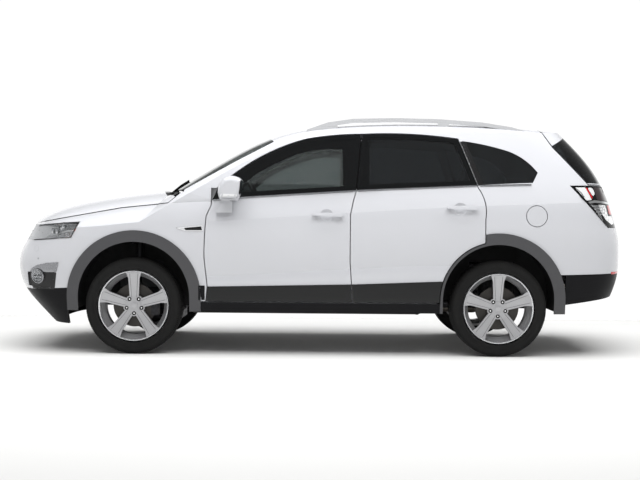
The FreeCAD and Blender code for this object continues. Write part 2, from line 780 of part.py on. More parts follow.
def make_front_guard():
    """The dark lower edge of the nose, with the fog lamp pockets let into the bumper."""
    zone = full(below([(x, z - fixed_seam / roof_height) for x, z in bumper_bottom])).common(full(above(guard_bottom)))
    zone = zone.common(box(-far, front_axle - arch_radius - arch_trim_width - fixed_seam, -far, far, 0, far))
    shell = hull_layer(0, bumper_thickness, zone).cut(face_of(intake_shares, -far, front_axle))
    pockets = []
    pocket = across(side_area(fog_line)).common(box(-far, far, -far, intake_shares[0][0] * half_width - trim_base, 0, far))
    cup = hull_layer(trim_base, bumper_thickness, pocket)
    centre = Vector(along(fog_spot[0]), 0, up(fog_spot[1]))
    for side in (at_left, at_right):
        pockets.append(side(cup))
    return Part.makeCompound([largest(shell)] + [largest(p) for p in pockets])


fog_spot = (0.264, 0.308)


def make_grille():
    """Frames and level slats that fill the upper grille and the lower intake."""
    pieces = []
    for shares, count in ((grille_shares, grille_slats), (intake_shares, intake_slats)):
        hole = face_of(shares, -far, front_axle, -seat_gap)
        core = face_of(shares, -far, front_axle, -slat_height)
        rim = hull_layer(trim_base, trim_base + slat_depth, hole).cut(core)
        low, high = up(shares[1][1]), up(shares[0][1])
        step = (high - low) / (count + 1)
        bars = []
        for index in range(count):
            z = low + step * (index + 1) - slat_height / 2
            bars.append(hull_layer(trim_base, trim_base + slat_depth, hole.common(box(-far, far, -far, far, z, z + slat_height))))
        post = hull_layer(trim_base, trim_base + slat_depth, hole.common(box(-far, far, -slat_height / 2, slat_height / 2, 0, far)))
        pieces.append(largest(rim.fuse(bars + [post])))
    return Part.makeCompound(pieces)


def make_front_lamps():
    zone = front_lamp_zone(-seat_gap)
    lens = hull_layer(0, lens_thickness, zone)
    lens = largest(left_only(lens))
    house = hull_layer(lens_thickness + lamp_depth - lamp_back, lens_thickness + lamp_depth, zone)
    house = left_only(house).cut(arch_trim_cut(front_axle, fixed_seam).common(left_band(far, half_width / 2)))
    rim = hull_layer(lens_thickness + seat_gap, lens_thickness + lamp_depth, zone)
    rim = left_only(rim).cut(left_only(front_lamp_zone(-seat_gap - lens_thickness)))
    bowl = largest(left_only(house).fuse(rim))
    return lens, bowl


def make_arch_trims():
    pieces = []
    for x in (front_axle, rear_axle):
        outer = arch_radius + arch_trim_width
        ring = axle_barrel(outer, x, -far, -half_width / 2).fuse(
            box(x - outer, x + outer, -far, -half_width / 2, sill_bottom, arch_height))
        hole = axle_barrel(arch_radius, x, -far, 0).fuse(box(x - arch_radius, x + arch_radius, -far, 0, 0, arch_height))
        trim = layer(-trim_proud, trim_base, ring.cut(hole).common(box(-far, far, -far, 0, sill_bottom, far)))
        if x == rear_axle:
            trim = trim.cut(across(grown(rear_door_face, door_gap / 2)))
            trim = trim.cut(box(along(split_line[0][0][0]), x - door_arch_radius, -far, 0, 0, door_bottom))
        pieces.append(largest(trim))
    return pieces


def make_sill_trim():
    zone = box(front_axle + arch_radius + arch_trim_width + fixed_seam, rear_axle - door_arch_radius - fixed_seam,
               -far, 0, sill_bottom, door_bottom - door_gap)
    return largest(layer(-guard_proud, trim_base, zone))


def make_rear_bumper():
    zone = full(below(rear_bumper_line)).common(full(above(rear_bumper_bottom)))
    zone = zone.common(box(rear_axle, far, -far, far, 0, far)).cut(gate_zone(gate_gap))
    shell = hull_layer(0, bumper_thickness, zone)
    for side in (at_left, at_right):
        shell = shell.cut(side(arch_trim_cut(rear_axle, fixed_seam)))
    return largest(shell)


def make_rear_guard():
    zone = full(below([(x, z - fixed_seam / roof_height) for x, z in rear_bumper_bottom]))
    zone = zone.common(full(above(rear_guard_bottom)))
    zone = zone.common(box(rear_axle + arch_radius + arch_trim_width + fixed_seam, far, -far, far, 0, far))
    return largest(hull_layer(0, bumper_thickness, zone))


def make_tail_lamp():
    zone = left_only(lamp_zone(-seat_gap)).common(left_band(far, gate_half_share * half_width + gate_gap))
    return largest(hull_layer(0, tail_lamp_depth, zone))


tail_lamp_depth = 60.0


def make_tailgate():
    zone = gate_zone()
    glass_zone = full(below(spoiler_line)).common(box(0, far, -far, far, up(tail_seam[3][1]) + gate_gap, far)).common(gate_zone())
    shell = hull_layer(0, gate_thickness, zone)
    shell = shell.cut(glass_zone.cut(hull(glass_thickness + seat_gap)))
    hole = face_of(gate_window_shares, 0, far)
    shell = shell.cut(hole)
    glass = hull_layer(0, glass_thickness, glass_zone)
    return largest(shell), largest(glass)


def make_structure():
    """The bulkhead, the inner wings with their shelf, and the front rails with their cross members."""
    wall = box(bulkhead_x, bulkhead_x + bulkhead_thickness, -far, far, floor_height, far)
    half = roof_half_share * half_width
    middle = wall.common(hull(cowl_inset + cowl_thickness + seat_gap)).common(box(-far, far, -half, half, 0, far))
    wall = wall.common(hull(roof_thickness + seat_gap)).common(cabin(seat_gap)).fuse(middle)
    wall = wall.cut(arch_cut(liner_radius + liner_wall + seat_gap)).cut(at_right(arch_cut(liner_radius + liner_wall + seat_gap)))
    shelf_area = below([(x, z - shelf_drop / roof_height) for x, z in bonnet_line[:-1]]).common(
        above([(x, z - (shelf_drop + shelf_thickness) / roof_height) for x, z in bonnet_line[:-1]]))
    shelf = hull(bonnet_thickness + seat_gap).common(across(shelf_area)).cut(hull(bonnet_thickness + shelf_width))
    cleat_area = below([(x, z - seat_gap / roof_height) for x, z in bonnet_line[:-1]]).common(
        above([(x, z - (shelf_drop + shelf_thickness) / roof_height) for x, z in bonnet_line[:-1]]))
    span = box(along(bonnet_line[0][0]) + lamp_depth, along(hinge_post_share) - seat_gap, -far, 0, 0, far)
    band = across(cleat_area).common(span)
    cleat = hull(bonnet_thickness + seat_gap).common(band).cut(hull(bonnet_thickness + seat_gap + shelf_thickness).common(band))
    shelf = shelf.common(span).fuse(cleat)
    y = half_width - bonnet_thickness - shelf_width
    plate = box(along(bonnet_line[0][0]) + lamp_depth, bulkhead_x, -y, -y + shelf_thickness, rail_z, far)
    plate = plate.common(across(below([(x, z - shelf_drop / roof_height) for x, z in bonnet_line[:-1]])))
    plate = plate.common(hull(bonnet_thickness + seat_gap))
    beam = box(nose_beam_x, bulkhead_x + hair, -beam_y - beam_width, -beam_y, rail_z, rail_z + beam_height)
    sides = []
    for shape in (shelf.fuse(plate), beam):
        shape = shape.cut(arch_cut(liner_radius + liner_wall + seat_gap))
        sides += [shape, at_right(shape)]
    bars = [box(nose_beam_x, nose_beam_x + beam_width, -y, y, z, z + beam_height) for z in (rail_z, upper_bar_z)]
    bars.append(box(nose_beam_x + hair, nose_beam_x + beam_width, -beam_y - beam_width, -beam_y, rail_z, upper_bar_z + beam_height))
    bars.append(box(nose_beam_x + hair, nose_beam_x + beam_width, beam_y, beam_y + beam_width, rail_z, upper_bar_z + beam_height))
    bars = [bar.common(hull(bumper_thickness + seat_gap)) for bar in bars]
    return largest(wall.fuse(sides + bars).cut(lamp_space(seat_gap)))


bulkhead_x = -985.0
bulkhead_thickness = 14.0
shelf_drop = 60.0
shelf_thickness = 12.0
shelf_width = 170.0
rail_z = 470.0
beam_y = 360.0
beam_width = 70.0
beam_height = 110.0
nose_beam_x = -2180.0
upper_bar_z = 800.0


def make_floor():
    """The cabin floor with its tunnel."""
    x0, x1 = bulkhead_x + bulkhead_thickness, heel_x
    slab = box(x0, x1, -half_width, half_width, floor_height, floor_height + floor_thickness)
    hump = box(x0, x1, -tunnel_width / 2, tunnel_width / 2, floor_height, floor_height + tunnel_height)
    trough = box(x0 - past, x1 + past, -tunnel_width / 2 + floor_thickness, tunnel_width / 2 - floor_thickness,
                 floor_height - past, floor_height + tunnel_height - floor_thickness)
    slab = slab.fuse(hump).cut(trough).common(cabin(seat_gap))
    return largest(slab.cut(arch_cut(liner_radius + liner_wall + seat_gap)).cut(at_right(arch_cut(liner_radius + liner_wall + seat_gap))))


heel_x = 860.0
load_thickness = 24.0
tail_panel_x = 2110.0


def make_load_floor():
    deck = box(heel_x, tail_panel_x, -half_width, half_width, load_floor_height, load_floor_height + load_thickness)
    heel = box(heel_x, heel_x + load_thickness, -half_width, half_width, floor_height, load_floor_height + load_thickness)
    tail = box(tail_panel_x - load_thickness, tail_panel_x, -half_width, half_width, rail_z, up(gate_bottom_share) - gate_gap)
    whole = deck.fuse([heel, tail]).common(cabin(seat_gap)).common(wrap(bumper_thickness + seat_gap))
    for side in (at_left, at_right):
        whole = whole.cut(side(arch_cut(liner_radius + liner_wall + seat_gap)))
    return largest(whole)


def make_liners():
    pieces = []
    for x in (front_axle, rear_axle):
        outer = liner_radius + liner_wall
        tub = axle_barrel(outer, x, -far, -liner_inner + liner_wall).cut(axle_barrel(liner_radius, x, -far, -liner_inner))
        tub = tub.common(box(-far, far, -far, 0, liner_bottom, far)).common(wrap(trim_base + seat_gap))
        slot = box(x - liner_slot_width, x + liner_slot_width, -half_width / 2 - past, 0, 0, liner_slot_top)
        tub = tub.cut(slot.common(left_band(liner_inner + liner_wall)))
        tub = tub.common(hull(bonnet_thickness + shelf_thickness))
        pieces.append(largest(tub))
    return pieces


liner_bottom = 330.0
liner_slot_width = 170.0
liner_slot_top = 690.0


def make_engine():
    return box(front_axle - engine_length / 2, front_axle + engine_length / 2, -engine_width / 2, engine_width / 2,
               engine_bottom, engine_bottom + engine_height)


engine_length = 560.0
engine_width = 640.0
engine_height = 620.0
engine_bottom = 330.0


def turned(points, x, y, z):
    """A ring turned about the wheel's axle from (across, radius) points; across is outboard."""
    ring = [Vector(0, -a, r) for a, r in points]
    face = Part.Face(Part.makePolygon(ring + [ring[0]]))
    solid = face.revolve(Vector(0, 0, 0), Vector(0, 1, 0), 360)
    solid = Part.Solid(solid.Shells[0]) if solid.ShapeType != "Solid" else solid
    if solid.Volume < 0:
        solid.reverse()
    solid.translate(Vector(x, y, z))
    return solid


def make_tyre():
    half = tyre_width / 2
    points = []
    for across_share, radius_share in tyre_shares:
        points.append((across_share * half, rim_radius + radius_share * tyre_sidewall))
    return turned(points + [(-a, r) for a, r in reversed(points)], 0, 0, 0)


tyre_shares = ((0.60, 0.00), (0.75, 0.00), (0.825, 0.12), (0.985, 0.42), (1.00, 0.60), (0.95, 0.84), (0.80, 0.965), (0.60, 1.00))


def make_rim():
    """A five-spoke wheel with its brake disc, its axle along Y through the origin and its face at -Y."""
    half = bead_width / 2
    r = rim_radius - seat_gap
    lip = r + rim_lip
    well = r - rim_well_depth
    outline_points = [(half + rim_wall, lip - rim_wall), (half + rim_wall, lip), (half, lip), (half - rim_wall, r),
                      (half / 3, r), (half / 6, well), (-half / 2, well), (-half + 2 * rim_wall, r), (-half, r),
                      (-half, lip), (-half - rim_wall, lip), (-half - rim_wall, r - rim_wall),
                      (-half / 2 - rim_wall, well - rim_wall), (half / 6, well - rim_wall), (half / 2, r - 2 * rim_wall)]
    barrel_ring = turned(outline_points, 0, 0, 0)
    face_y = -(half - spoke_dish)
    hub = Part.makeCylinder(hub_core_radius, hub_depth, Vector(0, face_y - spoke_depth / 4, 0), Vector(0, 1, 0))
    spokes = []
    for index in range(spoke_count):
        w0 = hub_radius * spoke_hub_share
        w1 = w0 * spoke_rim_share / spoke_hub_share
        reach = r - rim_wall
        knee = reach * spoke_knee_share
        w2 = w1 * spoke_flare_share
        ring = [Vector(-w0, 0, 0), Vector(-w1, 0, knee), Vector(-w2, 0, reach), Vector(w2, 0, reach), Vector(w1, 0, knee), Vector(w0, 0, 0)]
        flat = Part.Face(Part.makePolygon(ring + [ring[0]]))
        flat.translate(Vector(0, face_y - spoke_depth, 0))
        spoke = flat.extrude(Vector(0, 2 * spoke_depth, 0))
        bowl = [(half, reach), (half - spoke_dish / 3, knee), (half - spoke_dish, hub_radius), (half - spoke_dish, 0),
                (half - spoke_dish - spoke_depth, 0), (half - spoke_dish - spoke_depth, hub_radius),
                (half - spoke_dish / 3 - spoke_depth, knee), (half - spoke_depth, reach)]
        spoke = spoke.common(turned_bowl(bowl))
        spoke.rotate(Vector(0, 0, 0), Vector(0, 1, 0), index * 360 / spoke_count)
        spokes.append(spoke)
    cap = Part.makeCylinder(cap_radius, cap_depth, Vector(0, face_y - spoke_depth / 4 - cap_depth, 0), Vector(0, 1, 0))
    disc = turned([(disc_inset, hub_radius), (disc_inset, disc_radius), (disc_inset - disc_thickness, disc_radius),
                   (disc_inset - disc_thickness, hub_radius)], 0, 0, 0)
    bell_face = half - spoke_dish - spoke_depth * bell_share
    bell = turned([(bell_face, hub_radius / 2), (bell_face, hub_radius + hair),
                   (disc_inset - disc_thickness, hub_radius + hair), (disc_inset - disc_thickness, hub_radius / 2)], 0, 0, 0)
    wheel = barrel_ring.fuse(spokes + [hub, cap, disc, bell])
    bosses = []
    pockets = []
    for index in range(spoke_count):
        angle = math.radians(90 + (index + 0.5) * 360 / spoke_count)
        spot = Vector(bolt_circle / 2 * math.cos(angle), -half, bolt_circle / 2 * math.sin(angle))
        pockets.append(Part.makeCylinder(bolt_pocket_radius, spoke_dish + pocket_depth, spot, Vector(0, 1, 0)))
        spot = Vector(spot.x, face_y, spot.z)
        bosses.append(Part.makeCylinder(boss_ring_radius, hub_depth - spoke_depth / 4, spot, Vector(0, 1, 0)))
    return largest(wheel.fuse(bosses).cut(pockets))


bell_share = 0.70
spoke_knee_share = 0.80
pocket_depth = 14.0


def turned_bowl(points):
    ring = [Vector(0, -a, r) for a, r in points]
    face = Part.Face(Part.makePolygon(ring + [ring[0]]))
    solid = face.revolve(Vector(0, 0, 0), Vector(0, 1, 0), 360)
    return solid


def placed(shape, x, side):
    """A wheel piece on the left at an axle, or its mirror image on the right."""
    shape = shape.copy()
    shape.translate(Vector(x, -wheel_centre, axle_height))
    return side(shape)


kingpin_low_y = 700.0
kingpin_low_z = 215.0
kingpin_top_y = 560.0
kingpin_top_z = 820.0


def kingpin_y(z):
    share = (z - kingpin_low_z) / (kingpin_top_z - kingpin_low_z)
    return kingpin_low_y + share * (kingpin_top_y - kingpin_low_y)


def bar_between(a, b, radius):
    return Part.makeCylinder(radius, (b - a).Length, a, b - a)


def make_knuckle():
    """The left front knuckle with its hub bearing, caliper and steering arm."""
    x, z = front_axle, axle_height
    inner_face = wheel_centre - disc_inset + disc_thickness / 2
    hub_in = -(wheel_centre + disc_inset - disc_thickness - running_gap)
    bearing = barrel(hub_radius * 0.7, knuckle_depth, Vector(x, hub_in, z))
    low = Vector(x, -kingpin_low_y, kingpin_low_z + ball_radius)
    top_z = axle_height + knuckle_rise
    top = Vector(x, -kingpin_y(top_z), top_z)
    post = bar_between(low, top, post_radius)
    arm = bar_between(Vector(x, hub_in + knuckle_depth / 2, z), Vector(x + arm_reach, hub_in + knuckle_depth + arm_in, z - hub_radius), arm_radius)
    block = box(x + disc_radius - caliper_depth, x + disc_radius + caliper_wall, -(wheel_centre + disc_inset + caliper_wall),
                hub_in + caliper_wall * 2, z - caliper_height / 2, z + caliper_height / 2)
    groove = axle_barrel(disc_radius + running_gap, x, -(wheel_centre + disc_inset + running_gap), hub_in, z)
    bridge = box(x, x + disc_radius, hub_in + running_gap, hub_in + caliper_wall * 2, z - caliper_height / 3, z + caliper_height / 3)
    block = block.cut(groove)
    return largest(bearing.fuse([post, arm, block, bridge]))


running_gap = 6.0
knuckle_depth = 70.0
ball_radius = 24.0
knuckle_rise = 150.0
post_radius = 20.0
arm_reach = 120.0
arm_in = 20.0
arm_radius = 14.0
caliper_depth = 38.0
caliper_wall = 18.0
caliper_height = 150.0
strut_radius = 24.0
spring_radius = 66.0
spring_wall = 12.0
spring_turns = 5


def make_front_suspension():
    """Struts with their springs, lower arms and the cradle that carries them."""
    x = front_axle
    base_z = axle_height + knuckle_rise + running_gap
    foot = Vector(x, -kingpin_y(base_z), base_z)
    head = Vector(x, -kingpin_top_y, kingpin_top_z)
    strut = bar_between(foot, head, strut_radius)
    seat_at = foot + (head - foot) * strut_seat_share
    step = (head - seat_at) * (1 / spring_turns)
    coils = []
    for index in range(spring_turns + 1):
        ring = Part.makeTorus(spring_radius - spring_wall / 2, spring_wall / 2, seat_at + step * index, head - foot)
        coils.append(ring)
    plate = Part.makeCylinder(spring_radius, spring_wall, seat_at, head - foot)
    tower = Part.makeCylinder(spring_radius, spring_wall, head, head - foot)
    crown = Part.makeCylinder(tower_radius, far, head).common(axle_barrel(liner_radius - seat_gap, x, -far, 0))
    ball = Vector(x, -kingpin_low_y, kingpin_low_z - ball_radius)
    arm = Part.Face(Part.makePolygon([
        Vector(x - wish_front, -cradle_half, ball.z), Vector(x - post_radius, -kingpin_low_y - post_radius, ball.z),
        Vector(x + post_radius, -kingpin_low_y - post_radius, ball.z), Vector(x + wish_rear, -cradle_half, ball.z),
        Vector(x - wish_front, -cradle_half, ball.z)])).extrude(Vector(0, 0, wish_thickness))
    left = strut.fuse(coils + [plate, tower, crown])
    cradle = box(x - wish_front - past, x + wish_rear + past, -cradle_half - hair, cradle_half + hair, ball.z, ball.z + cradle_height)
    window = box(x - wish_front, x + wish_rear, -cradle_half + beam_width, cradle_half - beam_width, 0, far)
    cradle = cradle.cut(window).fuse([arm, at_right(arm)])
    return Part.makeCompound([largest(cradle)] + both(largest(left)).Solids)


strut_seat_share = 0.42
tower_radius = 45.0
wish_front = 60.0
wish_rear = 200.0
wish_thickness = 20.0
cradle_half = 400.0
cradle_height = 60.0


def make_rear_suspension():
    """Hub carriers, trailing arms, springs and dampers under the load floor, on one cross beam."""
    x, z = rear_axle, axle_height
    hub_in = -(wheel_centre + disc_inset - disc_thickness - running_gap)
    carrier = barrel(hub_radius * 0.7, knuckle_depth + past, Vector(x, hub_in, z))
    arm = bar_between(Vector(x, hub_in + knuckle_depth, z), Vector(x - trail_reach, hub_in + knuckle_depth + 2 * past, z + ball_radius), post_radius)
    beam = box(x - beam_width / 2, x + beam_width / 2, hub_in + knuckle_depth + past - hair, 0, z - beam_height / 2, z + beam_height / 2)
    spring_y = -(liner_inner - past)
    damper = bar_between(Vector(x + past, spring_y - past, z), Vector(x + past, spring_y, load_floor_height - seat_gap), strut_radius)
    spring = Part.makeCylinder(spring_radius, load_floor_height - seat_gap - z, Vector(x - past / 2, spring_y, z))
    left = carrier.fuse([arm, damper, spring, beam])
    left = largest(left)
    return left.fuse(at_right(left))


trail_reach = 380.0


def make_exhaust():
    """The pipe from the engine, its run under the floor, and the silencer behind the rear axle."""
    engine_back = front_axle + engine_length / 2 + pipe_radius + seat_gap
    silencer_x = rear_axle + silencer_back
    rise_x = silencer_x - past
    route = [Vector(engine_back, 0, engine_bottom + pipe_radius), Vector(engine_back + past, 0, pipe_run_z),
             Vector(heel_x - past, 0, pipe_run_z), Vector(heel_x + past, exhaust_y, pipe_run_z),
             Vector(rise_x - past, exhaust_y, pipe_run_z), Vector(rise_x, exhaust_y, silencer_z),
             Vector(half_length - tail_pipe_inset, exhaust_y, silencer_z)]
    pieces = [bar_between(a, b, pipe_radius) for a, b in zip(route, route[1:])]
    pieces += [Part.makeSphere(pipe_radius + trim_base, spot) for spot in route[1:-1]]
    pieces.append(Part.makeCylinder(silencer_radius, silencer_length, Vector(silencer_x, exhaust_y, silencer_z), Vector(1, 0, 0)))
    return largest(pieces[0].fuse(pieces[1:]))


exhaust_y = 330.0
silencer_radius = 80.0
silencer_length = 300.0
silencer_z = 478.0
silencer_back = 400.0
pipe_run_z = 266.0
tail_pipe_inset = 255.0
pipe_radius = 28.0


def make_dashboard():
    runs = [[(1.152, 0.395)], [(1.152, 0.632)], [(1.152, 0.632), (1.218, 0.657), (1.277, 0.632)], [(1.299, 0.576)], [(1.285, 0.485)], [(1.226, 0.395)]]
    face = profile(side_point, runs)
    half = half_width - door_thickness - seal_gap - pillar_thickness - seat_gap
    block = across(face, -half * dash_share, half * dash_share)
    console = box(along(console_shares[0]), along(console_shares[1]), -tunnel_width / 2 + floor_thickness, tunnel_width / 2 - floor_thickness,
                  floor_height + tunnel_height + seat_gap, up(console_shares[2]))
    return largest(block.common(hull(past)).common(cabin(seat_gap)).fuse(console))


dash_share = 0.99
console_shares = (1.218, 1.536, 0.405)


def make_steering_wheel():
    ring = Part.makeTorus(wheel_grip_radius, grip_wire, Vector(0, 0, 0), Vector(1, 0, 0))
    boss = Part.makeCylinder(boss_radius, boss_depth, Vector(-boss_depth / 2, 0, 0), Vector(1, 0, 0))
    spokes = [bar_between(Vector(0, 0, 0), Vector(0, wheel_grip_radius * math.cos(a), wheel_grip_radius * math.sin(a)), grip_wire * 0.8)
              for a in (0, math.pi, -math.pi / 2)]
    column = Part.makeCylinder(grip_wire * 1.6, column_length, Vector(-column_length, 0, 0), Vector(1, 0, 0))
    wheel = ring.fuse(spokes + [boss, column])
    wheel.rotate(Vector(0, 0, 0), Vector(0, 1, 0), column_angle)
    wheel.translate(Vector(along(wheel_spot_shares[0]), -wheel_spot_shares[1] * half_width, up(wheel_spot_shares[2])))
    return wheel.cut(nodes["dashboard"])


wheel_grip_radius = 180.0
grip_wire = 15.0
boss_radius = 62.0
boss_depth = 40.0
column_length = 200.0
column_angle = -24.0
wheel_spot_shares = (1.333, 0.44, 0.640)

seat_runs = [[(1.384, 0.316)], [(1.379, 0.361), (1.384, 0.389), (1.410, 0.395)], [(1.555, 0.361)], [(1.584, 0.429)], [(1.614, 0.700), (1.628, 0.712), (1.645, 0.700)],
             [(1.628, 0.508)], [(1.614, 0.361)], [(1.599, 0.316)]]
rest_runs = [[(1.626, 0.728)], [(1.630, 0.796), (1.644, 0.816), (1.657, 0.797)], [(1.662, 0.728)]]
bench_runs = [[(1.713, 0.316)], [(1.708, 0.361), (1.713, 0.400), (1.739, 0.410)], [(1.876, 0.407)], [(1.898, 0.457)], [(1.932, 0.694), (1.946, 0.705), (1.965, 0.694)],
              [(1.946, 0.508)], [(1.924, 0.372)], [(1.821, 0.372)], [(1.821, 0.316)]]
seat_width = 510.0
seat_spot = 390.0
rest_width = 260.0
rest_gap = 18.0


def make_front_seats():
    body = across(profile(side_point, seat_runs), -seat_spot - seat_width / 2, -seat_spot + seat_width / 2)
    rest = across(profile(side_point, rest_runs), -seat_spot - rest_width / 2, -seat_spot + rest_width / 2)
    base = box(along(seat_base_shares[0]), along(seat_base_shares[1]), -seat_spot - rest_width / 2, -seat_spot + rest_width / 2,
               floor_height + floor_thickness + seat_gap, up(seat_base_shares[2]))
    posts = []
    for side in (-1, 1):
        y = -seat_spot + side * rest_width / 4
        posts.append(Part.makeCylinder(grip_wire / 2, rest_gap * 5, Vector(along(rest_runs[0][0][0]) + past / 2, y, up(rest_runs[0][0][1]) - rest_gap * 3)))
    return both(largest(body.fuse([rest, base] + posts)))


seat_base_shares = (1.410, 1.588, 0.330)


def make_rear_seat():
    half = bench_half_share * half_width
    bench = across(profile(side_point, bench_runs), -half, half)
    floor_top = floor_height + floor_thickness + seat_gap
    base = box(along(bench_base_shares[0]), along(bench_base_shares[1]), -half, -tunnel_width / 2 - seat_gap, floor_top, up(bench_base_shares[2]))
    rests = both(base).Solids
    for y in (-seat_spot, 0, seat_spot):
        block = across(profile(side_point, rest_runs), y - rest_width / 2, y + rest_width / 2)
        block.translate(Vector(bench_rest_back, 0, -bench_rest_drop))
        rests.append(block)
        post = Part.makeCylinder(grip_wire / 2, rest_gap * 6, Vector(along(rest_runs[0][0][0]) + bench_rest_back + past / 2, y, up(rest_runs[0][0][1]) - bench_rest_drop - rest_gap * 4))
        rests.append(post)
    load_top = load_floor_height + load_thickness + bench_clear
    whole = bench.fuse(rests).cut(box(heel_x - seat_gap, far, -half_width, half_width, 0, load_top))
    for side in (at_left, at_right):
        whole = whole.cut(side(arch_cut(liner_radius + liner_wall + seat_gap)))
    return largest(whole)


bench_base_shares = (1.728, 1.817, 0.335)
bench_half_share = 0.70
bench_clear = 26.0
bench_rest_back = 835.0
bench_rest_drop = 0.0


def make_mirror():
    """The left door mirror: a shell that bulges forwards on a blade foot."""
    runs = [[(1.285, 0.647)], [(1.239, 0.649), (1.234, 0.694), (1.248, 0.734)], [(1.248, 0.734), (1.270, 0.743), (1.290, 0.735)], [(1.296, 0.728), (1.295, 0.688), (1.285, 0.647)]]
    side = profile(side_point, runs)
    y0 = -(half_width + mirror_out)
    sections = []
    for depth_share, by in mirror_section_shares:
        section = grown(side, by * mirror_width)
        section.translate(Vector(0, y0 + depth_share * mirror_width, 0))
        sections.append(section.OuterWire)
    head = Part.makeLoft(sections, True, False).cut(wrap(-trim_base - seat_gap))
    foot_runs = [[(1.224, 0.594)], [(1.248, 0.655)], [(1.270, 0.655)], [(1.270, 0.594)]]
    foot = across(profile(side_point, foot_runs), -far, -half_width / 2)
    foot = foot.common(wrap(-mirror_foot)).cut(wrap(-trim_base - seat_gap))
    neck = box(along(neck_shares[0]), along(neck_shares[1]), y0 + mirror_width / 2, -half_width / 2, up(neck_shares[2]), up(neck_shares[3]))
    return largest(head.fuse([foot, neck]).cut(wrap(-trim_base - seat_gap)))


mirror_out = 134.0
mirror_width = 138.0
mirror_section_shares = ((0.0, -0.26), (0.08, -0.11), (0.28, 0.0), (0.80, 0.0), (1.0, -0.12))
mirror_foot = 30.0
neck_shares = (1.240, 1.266, 0.640, 0.672)


def build():
    add_pair("body_side", make_body_side())
    add("roof", make_roof())
    add("roof_rails", both(make_rail()))
    add("fixed_windows", make_windows())
    add("bonnet", make_bonnet())
    add("cowl_panel", make_cowl())
    add("front_wings", both(make_wing()))
    add("front_bumper", make_front_bumper())
    add("front_guard", make_front_guard())
    add("grille", make_grille())
    lens, bowl = make_front_lamps()
    add("headlamp_lenses", both(lens))
    add("headlamp_housings", both(bowl))
    trims = make_arch_trims()
    add("arch_trims", Part.makeCompound(both(trims[0]).Solids + both(trims[1]).Solids))
    add("sill_trims", both(make_sill_trim()))
    add("rear_bumper", make_rear_bumper())
    add("rear_guard", make_rear_guard())
    add("tail_lamps", both(make_tail_lamp()))
    gate, gate_glass = make_tailgate()
    add("tailgate", gate)
    add("tailgate_window", gate_glass)
    add("fuel_flap", make_fuel_flap())
    doors = (("front_door", front_door_face, door_front_runs[1][0][0], front_dish),
             ("rear_door", rear_door_face, split_line[1][0][0], rear_dish))
    for name, face, edge, dish in doors:
        panel, trim, glass = door_solids(face, along(edge), dish)
        add_pair(name, panel)
        add_pair(name + "_trim", trim)
        add_pair(name + "_glass", glass)
    add_pair("mirror", make_mirror())
    add("front_structure", make_structure())
    add("cabin_floor", make_floor())
    add("load_floor", make_load_floor())
    liners = make_liners()
    add("front_wheel_liners", both(liners[0]))
    add("rear_wheel_liners", both(liners[1]))
    add("engine_block", make_engine())
    add("front_suspension", make_front_suspension())
    add("rear_suspension", make_rear_suspension())
    add("exhaust", make_exhaust())
    add("dashboard", make_dashboard())
    add("steering_wheel", make_steering_wheel())
    add("front_seats", make_front_seats())
    add("rear_seat", make_rear_seat())
    add_pair("knuckle", make_knuckle())
    tyre, rim = make_tyre(), make_rim()
    for axle, x in (("front", front_axle), ("rear", rear_axle)):
        for label, side in (("left", at_left), ("right", at_right)):
            add("tyre_%s_%s" % (axle, label), placed(tyre, x, side))
            add("rim_%s_%s" % (axle, label), placed(rim, x, side))


def make_fuel_flap():
    flap = across(fuel_disc(fuel_radius))
    return largest(layer(0, fuel_thickness, flap))


build()
os.makedirs("parts", exist_ok=True)
for name, shape in nodes.items():
    shape.exportStep("parts/" + name + ".step")
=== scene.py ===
# %% [markdown]
# # A five-door family SUV
# The car's panels, glass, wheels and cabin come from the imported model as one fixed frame. This lesson gives
# them the finishes of a real car, and adds what is too fine for solids: tread, bright strips, lamp insides,
# wipers, door pulls and sewn seats. Each piece rides on the body that it is fixed to.

# %% Load the frame
import bpy
import bmesh
import math
from mathutils import Matrix, Vector
from mathutils.bvhtree import BVHTree


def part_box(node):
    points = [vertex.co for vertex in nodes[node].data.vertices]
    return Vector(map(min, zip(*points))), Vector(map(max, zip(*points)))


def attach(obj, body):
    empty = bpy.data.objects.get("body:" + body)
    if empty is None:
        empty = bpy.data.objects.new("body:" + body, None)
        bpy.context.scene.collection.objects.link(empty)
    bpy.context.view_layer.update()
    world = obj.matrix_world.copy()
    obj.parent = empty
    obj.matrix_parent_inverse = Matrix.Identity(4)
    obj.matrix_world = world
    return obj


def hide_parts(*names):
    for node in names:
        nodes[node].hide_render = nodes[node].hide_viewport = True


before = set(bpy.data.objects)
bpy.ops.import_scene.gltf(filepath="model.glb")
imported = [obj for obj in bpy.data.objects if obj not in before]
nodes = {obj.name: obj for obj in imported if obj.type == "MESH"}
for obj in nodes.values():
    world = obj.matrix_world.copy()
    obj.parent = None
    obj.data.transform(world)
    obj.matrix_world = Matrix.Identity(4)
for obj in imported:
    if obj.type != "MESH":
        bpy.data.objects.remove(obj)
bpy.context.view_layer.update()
MM = 0.001
TURN = math.radians

# %% [markdown]
# ## Camera
# The photograph is a plain side view of the left side, taken from about ten metres with a long lens. Its
# horizon lies a little above the middle of the frame, so the lens tips down by a degree and a quarter.

# %% Camera
EYE = (0.008, -9.92, 1.05)
LENS_MM, SENSOR_MM = 68.7, 36.0
TIP, ROLL = 88.77, 0.5        # degrees: a tip of 90 would be level
camera = bpy.data.objects.new("Camera", bpy.data.cameras.new("Camera"))
bpy.context.scene.collection.objects.link(camera)
camera.data.sensor_width = SENSOR_MM
camera.data.lens = LENS_MM
camera.matrix_world = (Matrix.Translation(EYE) @ Matrix.Rotation(TURN(TIP), 4, "X")
                       @ Matrix.Rotation(TURN(ROLL), 4, "Z"))
bpy.context.scene.camera = camera

